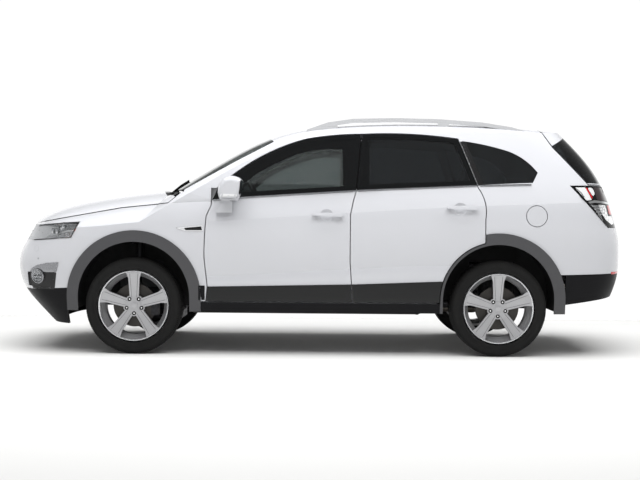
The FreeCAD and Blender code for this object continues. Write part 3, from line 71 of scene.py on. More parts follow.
# %% [markdown]
# ## Studio
# A car is photographed in a white room under very large soft lights. A pale floor sheet and a low white wall do
# the same here. Shiny surfaces don't mirror the three softboxes, so no hard streaks are drawn on paint or glass.

# %% Floor and lights
def linear(code):
    """An sRGB hex colour as the linear values that a shader works in."""
    parts = [int(code[i:i + 2], 16) / 255 for i in (1, 3, 5)]
    return tuple(p / 12.92 if p <= 0.04045 else ((p + 0.055) / 1.055) ** 2.4 for p in parts) + (1.0,)


def add_node(tree, kind, inputs=None, **settings):
    """One shader node, with its settings and with its inputs set or linked."""
    made = tree.nodes.new(kind)
    for key, value in settings.items():
        setattr(made, key, value)
    for key, value in (inputs or {}).items():
        if isinstance(value, bpy.types.NodeSocket):
            tree.links.new(value, made.inputs[key])
        else:
            made.inputs[key].default_value = value
    return made


def finish_of(name, colour, **sockets):
    """A new material with its shader's own sockets set, and the tree to draw patterns in."""
    material = bpy.data.materials.new(name)
    material.use_nodes = True
    shader = material.node_tree.nodes["Principled BSDF"]
    shader.inputs["Base Color"].default_value = linear(colour)
    for key, value in sockets.items():
        shader.inputs[key.replace("_", " ")].default_value = value
    return material, material.node_tree, shader


def ranged(tree, value, low, high, start, end):
    """A value's run from start to end, mapped to the run from low to high."""
    spread = {"Value": value, "From Min": start, "From Max": end, "To Min": low, "To Max": high}
    return add_node(tree, "ShaderNodeMapRange", spread).outputs["Result"]


floor_finish, tree, shader = finish_of("studio_floor_painted", "#D0D0CF", Roughness=0.9)
floor_mesh = bpy.data.meshes.new("studio_floor")
(x0, y0), (x1, y1) = (-4.4, -5.4), (4.4, 2.4)
floor_mesh.from_pydata([(x0, y0, 0), (x1, y0, 0), (x1, y1, 0), (x0, y1, 0)], [], [(0, 1, 2, 3)])
floor = bpy.data.objects.new("studio_floor", floor_mesh)
bpy.context.scene.collection.objects.link(floor)
floor_mesh.materials.append(floor_finish)

# A low white wall, lit fully, runs round the room up to 12 degrees above the horizon, so the floor sheet ends
# almost without an edge. Above it the room is a third as bright, which keeps the glass dark.
WALL_TOP, ROOM_START = 0.21, 0.34          # sines of the heights above the horizon
WALL_LIGHT, ROOM_LIGHT = 1.04, 0.32
world = bpy.data.worlds.new("studio_air")
bpy.context.scene.world = world
world.use_nodes = True
air = world.node_tree
facing = add_node(air, "ShaderNodeTexCoord").outputs["Generated"]
climb = add_node(air, "ShaderNodeSeparateXYZ", {"Vector": facing}).outputs["Z"]
backdrop = air.nodes["Background"]
backdrop.inputs["Color"].default_value = linear("#FEFEFE")
air.links.new(ranged(air, climb, WALL_LIGHT, ROOM_LIGHT, WALL_TOP, ROOM_START), backdrop.inputs["Strength"])


def soft_light(name, place, target, size, watts):
    """A rectangular softbox that looks at a point."""
    data = bpy.data.lights.new(name, "AREA")
    data.shape = "RECTANGLE"
    data.size, data.size_y = size
    data.energy = watts
    light = bpy.data.objects.new(name, data)
    light.location = place
    light.rotation_euler = (Vector(target) - Vector(place)).to_track_quat("-Z", "Y").to_euler()
    light.visible_glossy = False
    bpy.context.scene.collection.objects.link(light)


soft_light("ceiling_softbox", (0, -0.6, 5.2), (0, -0.5, 0.8), (9.5, 3.2), 520)
soft_light("left_softbox", (0, -5.0, 6.4), (0, 0, 0.9), (9.0, 2.5), 420)
soft_light("wall_softbox", (0, 2.6, 5.0), (0, 2.2, 0.0), (10.0, 1.6), 150)
bpy.context.scene.view_settings.view_transform = "Standard"
print("studio ready")

# %% [markdown]
# ## Finishes
# Each finish starts from what the real one is. The paint is a pearl white under clear lacquer, the lower
# cladding is grained black polypropylene, the window surrounds are gloss black, and the rear glass is dyed.

# %% Helpers: patterns, roughness and relief
CLOUD = (0.3, 0.7)            # nearly all of a noise pattern lies between these values


def place_on(tree):
    return add_node(tree, "ShaderNodeTexCoord").outputs["Object"]


def pattern(tree, kind, output="Fac", settings=None, **inputs):
    """A pattern in the object's own coordinates, as the socket that carries it."""
    made = add_node(tree, "ShaderNodeTex" + kind, {"Vector": place_on(tree), **inputs}, **(settings or {}))
    return made.outputs[output]


def roughen(tree, shader, value, low, high, start=0.0, end=1.0):
    """Roughness from low to high, where a pattern runs from start to end."""
    tree.links.new(ranged(tree, value, low, high, start, end), shader.inputs["Roughness"])


def relief(tree, shader, height, strength, distance, socket="Normal"):
    made = add_node(tree, "ShaderNodeBump", {"Height": height, "Strength": strength, "Distance": distance})
    tree.links.new(made.outputs["Normal"], shader.inputs[socket])
    return made


def math_of(tree, kind, *values):
    return add_node(tree, "ShaderNodeMath", dict(enumerate(values)), operation=kind).outputs["Value"]


# %% Finish: pearl white lacquer
# Solid white with a faint pearl under clear lacquer: even colour and a very slight orange peel.
def lacquer(name, folds=()):
    """The car's paint. Each fold is a pressed crease: its run of (x, z) points, the tilt just above and just
    below it (+ faces the sky), and how far each tilt reaches before the panel is flat again."""
    material, tree, shader = finish_of(name, "#B4B5B9", Roughness=0.36, Coat_Weight=1.0, Coat_Roughness=0.04,
                                       IOR=1.5)
    peel = relief(tree, shader, pattern(tree, "Noise", Scale=130.0, Detail=1.0), 0.015, MM, "Coat Normal")
    roughen(tree, shader, pattern(tree, "Voronoi", "Distance", Scale=900.0), 0.33, 0.4)
    axes = add_node(tree, "ShaderNodeSeparateXYZ", {"Vector": place_on(tree)}).outputs
    height = 0.0
    for run, above, reach_up, below, reach_down in folds:
        line = run[0][1]
        for (x0, z0), (x1, z1) in zip(run, run[1:]):
            line = math_of(tree, "ADD", ranged(tree, axes["X"], 0.0, z1 - z0, x0, x1), line)
        away = math_of(tree, "SUBTRACT", axes["Z"], line)
        for bound, tilt, reach in (("MAXIMUM", above, -reach_up), ("MINIMUM", below, reach_down)):
            side = math_of(tree, "MULTIPLY", math_of(tree, bound, away, 0.0), 1 / reach)
            height = math_of(tree, "MULTIPLY_ADD", math_of(tree, "EXPONENT", side), -tilt * reach, height)
    if folds:
        bump = relief(tree, shader, height, 1.0, 1.0)
        tree.links.new(bump.outputs["Normal"], peel.inputs["Normal"])
    return material


# The shoulder line rises from the wing's vent through both handles to the tail lamp. The sill line rises along
# the doors. The wing's line runs back from the headlamp below the bonnet's edge.
SHOULDER = ([(-0.842, 0.985), (-0.041, 1.04), (0.952, 1.105), (1.855, 1.145)], 0.62, 0.085, 0.16, 0.12)
SILL_LINE = ([(-0.78, 0.582), (-0.3, 0.61), (0.7, 0.672)], -0.05, 0.05, 0.6, 0.045)
WING_LINE = ([(-2.15, 0.957), (-1.479, 1.079), (-1.121, 1.118), (-0.85, 1.133)], -0.35, 0.02, 0.55, 0.12)
pearl_white = lacquer("pearl_white_lacquer")
pearl_side = lacquer("pearl_white_lacquer_side", [SHOULDER])
pearl_door = lacquer("pearl_white_lacquer_door", [SHOULDER, SILL_LINE])
pearl_wing = lacquer("pearl_white_lacquer_wing", [WING_LINE])


# %% Finish: moulded plastics, rubber and cloth-like linings
def moulded(name, colour, grain_mm, depth_mm, roughness, gloss=0.5):
    """A moulded or felted surface whose grain's cells are grain_mm across."""
    material, tree, shader = finish_of(name, colour, Roughness=roughness, IOR=1.49, Specular_IOR_Level=gloss)
    relief(tree, shader, pattern(tree, "Voronoi", "Distance", Scale=1 / (grain_mm * MM)), 0.35, depth_mm * MM)
    cloud = pattern(tree, "Noise", Scale=9.0, Detail=3.0)
    roughen(tree, shader, cloud, roughness - 0.06, roughness + 0.06, *CLOUD)
    return material


# The real grain is under a millimetre, so it is drawn at 3 mm to show at all.
cladding_black = moulded("grained_polypropylene_cladding", "#101012", 3.0, 0.3, 0.45, 0.12)
# The arch trims are the cladding's own black plastic, drawn lighter and glossier as a painted sheen: the light that
# their upturned tops catch.
arch_black_painted_sheen = moulded("grained_polypropylene_arch_painted_sheen", "#414143", 3.0, 0.3, 0.42, 0.35)
cabin_black = moulded("grained_cabin_plastic", "#2A2A2C", 3.0, 0.3, 0.55)
liner_black = moulded("felted_wheel_liner", "#161617", 5.0, 0.8, 0.85)
spoke_shadow_grey = moulded("shadow_line_grey", "#5A5A5C", 3.0, 0.1, 0.5)
# The same soft black draws rubber seals and trims, and also thin lines of painted shade.
shadow_black = moulded("soft_black_rubber_and_painted_shade", "#101011", 3.0, 0.2, 0.6)
seam_grey = moulded("shaded_paint_seam", "#8E9092", 3.0, 0.1, 0.5)
piping_grey = moulded("sewn_piping_cord", "#4A4A4E", 3.0, 0.2, 0.8)
lining_grey = moulded("knitted_headlining", "#B9B7B2", 4.0, 0.3, 0.9)
carpet_black = moulded("tufted_carpet", "#1F1F21", 5.0, 1.2, 0.95)
gloss_black, tree, shader = finish_of("gloss_black_acrylic", "#08090A", Roughness=0.14, Coat_Weight=0.15,
                                      Coat_Roughness=0.05, Specular_IOR_Level=0.25)
roughen(tree, shader, pattern(tree, "Noise", Scale=30.0, Detail=4.0), 0.08, 0.2)


# %% Finish: glass
# Dyed safety glass: it lets a little light through, so the cabin shows as dark shapes.
def glass(name, colour):
    material, tree, shader = finish_of(name, colour, Roughness=0.0, IOR=1.45, Transmission_Weight=1.0)
    relief(tree, shader, pattern(tree, "Noise", Scale=2.5, Detail=0.0), 0.02, 0.002)
    return material


front_glass = glass("green_tinted_glass", "#7D8483")
privacy_glass = glass("dyed_privacy_glass", "#3E4245")
# A lamp cover is only 3 mm thick and hardly bends the light, so it is drawn as a thin film with its gloss.
lamp_clear, tree, shader = finish_of("clear_polycarbonate", "#7E8284", Roughness=0.03, IOR=1.58, Alpha=0.09,
                                     Coat_Weight=1.0)
roughen(tree, shader, pattern(tree, "Noise", Scale=12.0, Detail=1.0), 0.02, 0.05)


# %% Finish: metals
def metal(name, colour, roughness, streak_mm=0.0, axis=0, metallic=1.0):
    """A bare, plated or painted metal. streak_mm spaces the brushing lines that run along the given axis."""
    material, tree, shader = finish_of(name, colour, Roughness=roughness, Metallic=metallic)
    scale = [1.0, 1.0, 1.0]
    if streak_mm:
        scale = [1 / (streak_mm * MM)] * 3
        scale[axis] = 4.0
    stretch = add_node(tree, "ShaderNodeMapping", {"Vector": place_on(tree), "Scale": scale}).outputs["Vector"]
    lines = add_node(tree, "ShaderNodeTexNoise", {"Vector": stretch, "Scale": 1.0 if streak_mm else 60.0,
                                                  "Detail": 2.0}).outputs["Fac"]
    roughen(tree, shader, lines, roughness * 0.75, roughness * 1.3, *CLOUD)
    return material


chrome = metal("chromium_plate", "#E4E5E6", 0.06)
rail_silver = metal("anodised_aluminium", "#C2C3C5", 0.3, 1.5, 0, 0.6)
alloy_silver = metal("painted_alloy_silver", "#A6A6A8", 0.36, 0.6, 1, 0.6)
chrome_soft = metal("diamond_cut_alloy_edge", "#D6D7D9", 0.22, 0.8, 1, 0.8)
crescent_silver = metal("satin_chromed_plastic", "#8F9093", 0.24)
# The brake iron is drawn darker than bare iron: partly its own dull grey, and partly painted shade of the inside of
# the wheel.
brake_dark = metal("brake_iron_with_painted_shade", "#454341", 0.5, 1.2, 1)
dark_steel = metal("oiled_black_steel", "#3A3A3C", 0.55)
exhaust_steel = metal("heat_dulled_stainless", "#8D8780", 0.38, 2.0, 0)
underbody, tree, shader = finish_of("underbody_electrocoat", "#4A4B4D", Roughness=0.6)
relief(tree, shader, pattern(tree, "Noise", Scale=220.0, Detail=2.0), 0.25, 0.0006)
# Chromed bowls are pressed with facets; the cells of a bump pattern, 22 mm across, break the light the same way.
faceted_chrome, tree, shader = finish_of("faceted_chromed_bowl", "#FAFBFC", Roughness=0.1, Metallic=0.85)
relief(tree, shader, pattern(tree, "Voronoi", "Distance", Scale=45.0), 0.3, 0.006)


# %% Finish: small parts
def tinted(name, colour, roughness, metallic=0.0):
    """A coated part whose gloss varies a little, as sprayed and moulded parts do."""
    material, tree, shader = finish_of(name, colour, Roughness=roughness, Metallic=metallic, Coat_Weight=0.6,
                                       Coat_Roughness=0.04)
    cloud = pattern(tree, "Noise", Scale=45.0, Detail=3.0)
    roughen(tree, shader, cloud, roughness * 0.9, roughness * 1.1, *CLOUD)
    return material


satin_grey = tinted("satin_grey_bezel", "#DCDDDF", 0.3, 0.4)
lamp_milk = tinted("frosted_repeater_lens", "#D8D9DA", 0.2)
milk_silver = tinted("frosted_clear_lens", "#DADBDC", 0.15, 0.2)
lamp_red_deep = tinted("red_acrylic_over_foil", "#B3141C", 0.12)
lamp_smoked = tinted("smoked_acrylic", "#241A1C", 0.1)
amber_solid = tinted("amber_acrylic_over_foil", "#D9661A", 0.15)
dark_lens = tinted("projector_glass", "#1A1F26", 0.04)
mirror_silver = tinted("silvered_mirror_glass", "#C9D2D6", 0.02, 1.0)
plate_white = tinted("blank_plate_film", "#E2E3E2", 0.3)

# %% Finish: tyre rubber and seat cloth
# Carbon-black rubber: charcoal, matt, a little dusty where it has rolled.
tyre_rubber, tree, shader = finish_of("tyre_rubber", "#141415", Roughness=0.75, IOR=1.52, Specular_IOR_Level=0.2)
dust = add_node(tree, "ShaderNodeMix", {"Factor": pattern(tree, "Noise", Scale=14.0, Detail=5.0)}, data_type="RGBA")
dust.inputs["A"].default_value = linear("#101011")
dust.inputs["B"].default_value = linear("#1B1B1A")
tree.links.new(dust.outputs["Result"], shader.inputs["Base Color"])

# Flat-woven polyester, its threads drawn wider than real ones, so that the weave shows through the glass.
seat_cloth, tree, shader = finish_of("woven_seat_cloth", "#2D2D30", Roughness=0.9, Sheen_Weight=0.4)
threads = [pattern(tree, "Wave", settings={"bands_direction": way}, Scale=80.0) for way in "XY"]
relief(tree, shader, math_of(tree, "MULTIPLY", *threads), 0.4, 0.0008)


# %% Give each solid its finish
def sides(*names):
    return [f"{name}_{side}" for name in names for side in ("left", "right")]


worn = [
    (pearl_side, sides("body_side")), (pearl_wing, ["front_wings"]), (pearl_door, sides("front_door", "rear_door")),
    (pearl_white, ["roof", "bonnet", "front_bumper", "rear_bumper", "tailgate", "fuel_flap"] + sides("mirror")),
    (rail_silver, ["roof_rails"]), (lamp_clear, ["headlamp_lenses"]), (satin_grey, ["headlamp_housings"]),
    (front_glass, ["fixed_windows"] + sides("front_door_glass")),
    (privacy_glass, ["tailgate_window"] + sides("rear_door_glass")),
    (cladding_black, ["cowl_panel", "front_guard", "sill_trims", "rear_guard"]), (arch_black_painted_sheen, ["arch_trims"]),
    (gloss_black, ["grille", "tail_lamps"] + sides("front_door_trim", "rear_door_trim")),
    (underbody, ["front_structure", "cabin_floor"]), (cabin_black, ["load_floor", "dashboard", "steering_wheel"]),
    (liner_black, ["front_wheel_liners", "rear_wheel_liners"]), (exhaust_steel, ["exhaust"]),
    (dark_steel, ["engine_block", "front_suspension", "rear_suspension"] + sides("knuckle")),
    (seat_cloth, ["front_seats", "rear_seat"]), (tyre_rubber, sides("tyre_front", "tyre_rear")),
    (alloy_silver, sides("rim_front", "rim_rear")),
]
wears = {name: finish for finish, names in worn for name in names}
for name, node in nodes.items():
    node.data.materials.clear()
    node.data.materials.append(wears[name])
# The quarter windows behind the rear doors are dyed; the windscreen in the same node isn't.
QUARTER_START = 0.9
nodes["fixed_windows"].data.materials.append(privacy_glass)
for face in nodes["fixed_windows"].data.polygons:
    face.material_index = int(face.center.x > QUARTER_START)
print("finishes given to", len(wears), "nodes")

# A look is a finish with the slot that it fills. These are the looks that several pieces share.
ALLOY = (alloy_silver, "rim_alloy")
GLOSS = (gloss_black, "gloss_black")
CLAD = (cladding_black, "black_trim")
SHADOW = (shadow_black, "black_trim")
CHROME = (chrome, "rail_silver")
SATIN = (chrome_soft, "rail_silver")
CRESCENT = (crescent_silver, "rail_silver")
FACETS = (faceted_chrome, "rail_silver")
MILK = (milk_silver, "lamp_glass")
RED = (lamp_red_deep, "tail_lamp_red")
PLATE = (plate_white, "paint")
SEAM = (seam_grey, "paint")
CLOTH = (seat_cloth, "seat_fabric")
CABIN = (cabin_black, "cabin_plastic")
STEEL = (dark_steel, "steel")
POSTS = (chrome_soft, "steel")

# %% [markdown]
# ## How the small pieces are made
# Most small pieces of a car lie on its skin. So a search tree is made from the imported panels, a ray is cast at
# the place that a side, front or rear view gives, and the piece starts from the point and the slope it meets.
# What repeats or follows a path is left to Geometry Nodes: one tree sweeps a section along a path, and one
# copies a form round an axle.

# %% Helpers: rays on the panels
def skin_of(*names):
    """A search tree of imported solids, to find where their skin lies."""
    verts, faces = [], []
    for name in names:
        mesh = nodes[name].data
        first = len(verts)
        verts += [v.co.copy() for v in mesh.vertices]
        faces += [[first + i for i in p.vertices] for p in mesh.polygons]
    return BVHTree.FromPolygons(verts, faces)


VIEWS = {
    "side": (lambda u, v: Vector((u, -3, v)), Vector((0, 1, 0))),
    "far_side": (lambda u, v: Vector((u, 3, v)), Vector((0, -1, 0))),
    "front": (lambda u, v: Vector((-4, u, v)), Vector((1, 0, 0))),
    "rear": (lambda u, v: Vector((4, u, v)), Vector((-1, 0, 0))),
    "top": (lambda u, v: Vector((u, v, 3)), Vector((0, 0, -1))),
}


def cast(skin, view, u, v):
    """The point and outward slope that a ray from a view meets, or the nearest ones where it misses."""
    start, way = VIEWS[view][0](u, v), VIEWS[view][1]
    spot, slope, _, _ = skin.ray_cast(start, way)
    if spot is None:
        _, _, _, reach = skin.find_nearest(start)
        spot, slope, _, _ = skin.find_nearest(start + way * reach)
    return spot, (slope if slope.dot(way) < 0 else -slope).normalized()


def along_path(points, spacing):
    """More points on the straight runs between 2-D points, spacing apart or closer."""
    found = []
    for a, b in zip(points, points[1:]):
        steps = max(1, math.ceil(math.dist(a, b) / spacing))
        found += [(a[0] + (b[0] - a[0]) * i / steps, a[1] + (b[1] - a[1]) * i / steps) for i in range(steps)]
    return found + [points[-1]]


def rounded(points, radius, steps=4):
    """A closed 2-D outline with its corners rounded."""
    found = []
    count = len(points)
    for i in range(count):
        here, before, after = (Vector(points[k % count]) for k in (i, i - 1, i + 1))
        near = min(radius, (before - here).length * 0.45, (after - here).length * 0.45)
        a, b = here + (before - here).normalized() * near, here + (after - here).normalized() * near
        for k in range(steps + 1):
            t = k / steps
            found.append(tuple(a * (1 - t) ** 2 + here * 2 * t * (1 - t) + b * t ** 2))
    return found


# %% Helpers: forms, which are lists of points and faces
def joined(*forms):
    verts, faces = [], []
    for form in forms:
        first = len(verts)
        verts += form[0]
        faces += [[first + i for i in face] for face in form[1]]
    return verts, faces


def mirrored(form):
    return [Vector((v[0], -v[1], v[2])) for v in form[0]], [face[::-1] for face in form[1]]


def turned_form(outline, centre, steps=64, way=(0, 1, 0)):
    """A closed ring or cap: (place along the axis, radius) points turned about an axis through the centre."""
    axis = Vector(way).normalized()
    across = axis.orthogonal().normalized()
    other = axis.cross(across)
    verts, faces = [], []
    for i in range(steps):
        angle = 2 * math.pi * i / steps
        spoke = across * math.cos(angle) + other * math.sin(angle)
        verts += [Vector(centre) + axis * a + spoke * r for a, r in outline]
    size = len(outline)
    ring = outline[0][1] > 1e-6
    for i in range(steps):
        here, there = i * size, (i + 1) % steps * size
        for k in range(size if ring else size - 1):
            n = (k + 1) % size
            faces.append([here + k, here + n, there + n, there + k])
    return verts, faces


def plate_form(skin, view, outline, lift, depth, spacing=0.03):
    """A plate that follows a skin: drawn in a view, cast on the panels and raised by lift, depth thick."""
    flat = bmesh.new()
    flat.faces.new([flat.verts.new((u, v, 0)) for u, v in outline])
    bmesh.ops.triangulate(flat, faces=flat.faces)
    for _ in range(7):
        long = [e for e in flat.edges if e.calc_length() > spacing]
        if not long:
            break
        bmesh.ops.subdivide_edges(flat, edges=long, cuts=1)
        bmesh.ops.triangulate(flat, faces=[f for f in flat.faces if len(f.verts) > 3])
    flat.verts.index_update()
    top, under = [], []
    for v in flat.verts:
        spot, slope = cast(skin, view, v.co.x, v.co.y)
        top.append(spot + slope * lift)
        under.append(spot + slope * (lift - depth))
    count = len(top)
    faces = [[v.index for v in f.verts] for f in flat.faces]
    faces += [[i + count for i in reversed(face)] for face in list(faces)]
    faces += [[e.verts[0].index, e.verts[1].index, e.verts[1].index + count, e.verts[0].index + count]
              for e in flat.edges if e.is_boundary]
    flat.free()
    return top + under, faces


def ring_form(skin, view, outline, width, lift, depth):
    """A frame that follows a closed outline on a skin: its outer edge is the outline, width wide."""
    centre = Vector((sum(p[0] for p in outline), sum(p[1] for p in outline))) / len(outline)
    count = len(outline)
    rows = [[], [], [], []]
    for i, here in enumerate(outline):
        before, after = Vector(outline[i - 1]), Vector(outline[(i + 1) % count])
        run = (after - before).normalized()
        inward = Vector((-run.y, run.x))
        if inward.dot(centre - Vector(here)) < 0:
            inward = -inward
        inner = Vector(here) + inward * width
        corners = ((here, lift), (inner, lift), (inner, lift - depth), (here, lift - depth))
        for row, (spot_2d, height) in zip(rows, corners):
            spot, slope = cast(skin, view, *spot_2d)
            row.append(spot + slope * height)
    verts = [v for row in rows for v in row]
    faces = []
    for i in range(count):
        n = (i + 1) % count
        for row in range(4):
            a, b = row * count, (row + 1) % 4 * count
            faces.append([a + i, a + n, b + n, b + i])
    return verts, faces


def block_form(low, high):
    x0, y0, z0 = low
    x1, y1, z1 = high
    verts = [Vector((x, y, z)) for z in (z0, z1) for x, y in ((x0, y0), (x1, y0), (x1, y1), (x0, y1))]
    return verts, [[0, 3, 2, 1], [4, 5, 6, 7], [0, 1, 5, 4], [1, 2, 6, 5], [2, 3, 7, 6], [3, 0, 4, 7]]


def cleaned(mesh, crease, shortest=0.0):
    """Joins doubled points, drops edges under the shortest, turns faces outward, smooth up to the crease angle."""
    shape = bmesh.new()
    shape.from_mesh(mesh)
    bmesh.ops.remove_doubles(shape, verts=shape.verts, dist=1e-6)
    if shortest:
        bmesh.ops.dissolve_degenerate(shape, edges=shape.edges, dist=shortest)
    bmesh.ops.recalc_face_normals(shape, faces=shape.faces)
    shape.to_mesh(mesh)
    shape.free()
    mesh.polygons.foreach_set("use_smooth", [True] * len(mesh.polygons))
    mesh.set_sharp_from_angle(angle=TURN(crease))


def piece(name, body, look, form, crease=35.0, bevel=0.0, subdivide=0):
    """An object from a form, smooth up to the crease angle, that rides on a body."""
    mesh = bpy.data.meshes.new(name)
    mesh.from_pydata([tuple(v) for v in form[0]], [], form[1])
    cleaned(mesh, crease, 1e-7)
    mesh.materials.append(look[0])
    made = bpy.data.objects.new(name, mesh)
    bpy.context.scene.collection.objects.link(made)
    if bevel:
        rounding = made.modifiers.new("rounding", "BEVEL")
        rounding.width, rounding.segments, rounding.limit_method = bevel, 2, "ANGLE"
    if subdivide:
        smoothing = made.modifiers.new("smoothing", "SUBSURF")
        smoothing.levels = smoothing.render_levels = subdivide
    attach(made, body)
    return made


# %% Helpers: Geometry Nodes trees
def node_tree_of(name, sockets):
    """A Geometry Nodes tree with named inputs, and its input and output nodes."""
    tree = bpy.data.node_groups.new(name, "GeometryNodeTree")
    tree.interface.new_socket("Geometry", in_out="INPUT", socket_type="NodeSocketGeometry")
    for label, kind, value in sockets:
        socket = tree.interface.new_socket(label, in_out="INPUT", socket_type="NodeSocket" + kind)
        if value is not None:
            socket.default_value = value
    tree.interface.new_socket("Geometry", in_out="OUTPUT", socket_type="NodeSocketGeometry")
    return tree, tree.nodes.new("NodeGroupInput").outputs, tree.nodes.new("NodeGroupOutput").inputs


def finished(tree, shape, given, out):
    """The end of every tree: its shape as one plain mesh in the finish it was given."""
    real = add_node(tree, "GeometryNodeRealizeInstances", {"Geometry": shape})
    coloured = add_node(tree, "GeometryNodeSetMaterial", {"Geometry": real.outputs["Geometry"],
                                                          "Material": given["Finish"]})
    tree.links.new(coloured.outputs["Geometry"], out["Geometry"])


def grown_by(tree, name, form, values, body, look, crease=35.0):
    """The plain mesh that a tree makes from a form, as a piece on a body."""
    seed = bpy.data.meshes.new(name)
    seed.from_pydata([tuple(v) for v in form[0]], form[2] if len(form) > 2 else [], form[1])
    if len(form) > 3:
        facing = seed.attributes.new("facing", "FLOAT_VECTOR", "POINT")
        facing.data.foreach_set("vector", [c for n in form[3] for c in n])
    made = bpy.data.objects.new(name, seed)
    bpy.context.scene.collection.objects.link(made)
    modifier = made.modifiers.new("maker", "NODES")
    modifier.node_group = tree
    values = {**values, "Finish": look[0]}
    for item in tree.interface.items_tree:
        if item.in_out == "INPUT" and item.name in values:
            modifier[item.identifier] = values[item.name]
    bpy.context.view_layer.update()
    depsgraph = bpy.context.evaluated_depsgraph_get()
    mesh = bpy.data.meshes.new_from_object(made.evaluated_get(depsgraph), depsgraph=depsgraph)
    made.modifiers.clear()
    made.data = mesh
    mesh.name = name
    cleaned(mesh, crease)
    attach(made, body)
    return made


# Round an axle: Count copies of a form, turned about a line along Y through Centre.
round_axle, given, out = node_tree_of("copies_round_an_axle", [
    ("Count", "Int", 5), ("Centre", "Vector", (0, 0, 0)), ("Finish", "Material", None)])
spots = add_node(round_axle, "GeometryNodePoints", {"Count": given["Count"], "Position": given["Centre"]})
index = add_node(round_axle, "GeometryNodeInputIndex").outputs["Index"]
share = math_of(round_axle, "DIVIDE", index, given["Count"])
turn = add_node(round_axle, "ShaderNodeCombineXYZ", {"Y": math_of(round_axle, "MULTIPLY", share, 2 * math.pi)})
copies = add_node(round_axle, "GeometryNodeInstanceOnPoints", {
    "Points": spots.outputs[0], "Instance": given["Geometry"], "Rotation": turn.outputs["Vector"]})
finished(round_axle, copies.outputs["Instances"], given, out)

# Along a path: a rounded section, Width across the skin and Height off it.
swept, given, out = node_tree_of("section_along_a_path", [
    ("Width", "Float", 0.01), ("Height", "Float", 0.004), ("Round", "Float", 0.0015), ("Finish", "Material", None)])
path = add_node(swept, "GeometryNodeMeshToCurve", {"Mesh": given["Geometry"]})
facing = add_node(swept, "GeometryNodeInputNamedAttribute", {"Name": "facing"}, data_type="FLOAT_VECTOR")
aimed = add_node(swept, "GeometryNodeSetCurveNormal", {
    "Curve": path.outputs["Curve"], "Normal": facing.outputs["Attribute"]}, mode="FREE")
section = add_node(swept, "GeometryNodeCurvePrimitiveQuadrilateral", {
    "Width": given["Width"], "Height": given["Height"]})
eased = add_node(swept, "GeometryNodeFilletCurve", {
    "Curve": section.outputs["Curve"], "Radius": given["Round"], "Count": 2}, mode="POLY")
tube = add_node(swept, "GeometryNodeCurveToMesh", {
    "Curve": aimed.outputs["Curve"], "Profile Curve": eased.outputs["Curve"], "Fill Caps": True})
finished(swept, tube.outputs["Mesh"], given, out)


def path_form(spots, slopes, closed=False):
    """A path for the sweep: points, edges between them, and which way is off the skin at each."""
    edges = [(i, i + 1) for i in range(len(spots) - 1)] + ([(len(spots) - 1, 0)] if closed else [])
    return [Vector(p) for p in spots], [], edges, slopes


def skin_path(skin, view, points, lift, spacing=0.03, closed=False):
    found = [cast(skin, view, u, v) for u, v in along_path(points + points[:1] if closed else points, spacing)]
    if closed:
        found.pop()
    return path_form([spot + slope * lift for spot, slope in found], [slope for _, slope in found], closed)


def mirrored_path(form):
    return ([Vector((v[0], -v[1], v[2])) for v in form[0]], [], form[2],
            [Vector((n[0], -n[1], n[2])) for n in form[3]])


def line_form(points, up=(0, 0, 1)):
    """A free path through 3-D points, for arms, rods and wires."""
    return path_form(points, [Vector(up)] * len(points))


def joined_paths(*forms):
    verts, edges, slopes = [], [], []
    for form in forms:
        edges += [(a + len(verts), b + len(verts)) for a, b in form[2]]
        verts += form[0]
        slopes += form[3]
    return verts, [], edges, slopes


def strip(name, body, look, path, width, height, ease=0.0015):
    return grown_by(swept, name, path, {"Width": width, "Height": height, "Round": ease}, body, look)


# %% Helpers: pieces on both sides of the car
shell = ("body", "body")
front_doors = ("front_door_left", "front_door_right")
rear_doors = ("rear_door_left", "rear_door_right")


def both_strips(name, look, path, width, height, ease=0.0015, bodies=shell):
    """A strip on the left body and its mirror image on the right one, or one strip where both are one body."""
    if bodies[0] == bodies[1]:
        strip(name, bodies[0], look, joined_paths(path, mirrored_path(path)), width, height, ease)
        return
    strip(f"{name}_left", bodies[0], look, path, width, height, ease)
    strip(f"{name}_right", bodies[1], look, mirrored_path(path), width, height, ease)


def both_pieces(name, look, form, bodies=shell, **settings):
    """A piece on the left body and its mirror image on the right one, or one piece where both are one body."""
    if bodies[0] == bodies[1]:
        piece(name, bodies[0], look, joined(form, mirrored(form)), **settings)
        return
    piece(f"{name}_left", bodies[0], look, form, **settings)
    piece(f"{name}_right", bodies[1], look, mirrored(form), **settings)


def plate(name, look, skin, view, outline, ease, lift, depth, spacing=0.03, bodies=shell):
    """A plate on a skin with its corners rounded by ease: one on a named body, or one on each side."""
    form = plate_form(skin, view, rounded(outline, ease) if ease else outline, lift, depth, spacing)
    if isinstance(bodies, str):
        piece(name, bodies, look, form)
    else:
        both_pieces(name, look, form, bodies)


print("helpers and trees ready:", round_axle.name, swept.name)

# %% [markdown]
# ## Tyres
# A road tyre is a moulded carcass with ribs and blocks of tread, 8 mm deep, and thin rings on its sidewall. The
# carcass is one section turned about the axle. The tread repeats 76 times, so one pitch of it is drawn and a
# Geometry Nodes tree copies it round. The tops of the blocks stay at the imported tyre's radius, so it still
# stands on the floor.

# %% Tyres
TYRE = (tyre_rubber, "tyre")
axles = {"front": -1.37, "rear": 1.335}
axle_height, wheel_out = 0.357, 0.7825
groove_depth, pitches = 0.008, 76
side_section = [(0.0985, 0.26), (0.1015, 0.2665), (0.1045, 0.269), (0.1085, 0.274), (0.11, 0.28),
                (0.1115, 0.2815), (0.1128, 0.288), (0.1133, 0.295), (0.115, 0.2958), (0.1156, 0.303),
                (0.1168, 0.3036), (0.1172, 0.311), (0.1158, 0.318), (0.1138, 0.326), (0.114, 0.3272),
                (0.111, 0.333), (0.107, 0.339), (0.101, 0.3445), (0.093, 0.3475), (0.07, 0.3488),
                (0.035, 0.3492)]
tyre_section = ([(-a, r) for a, r in side_section] + [(a, r) for a, r in side_section[::-1]])


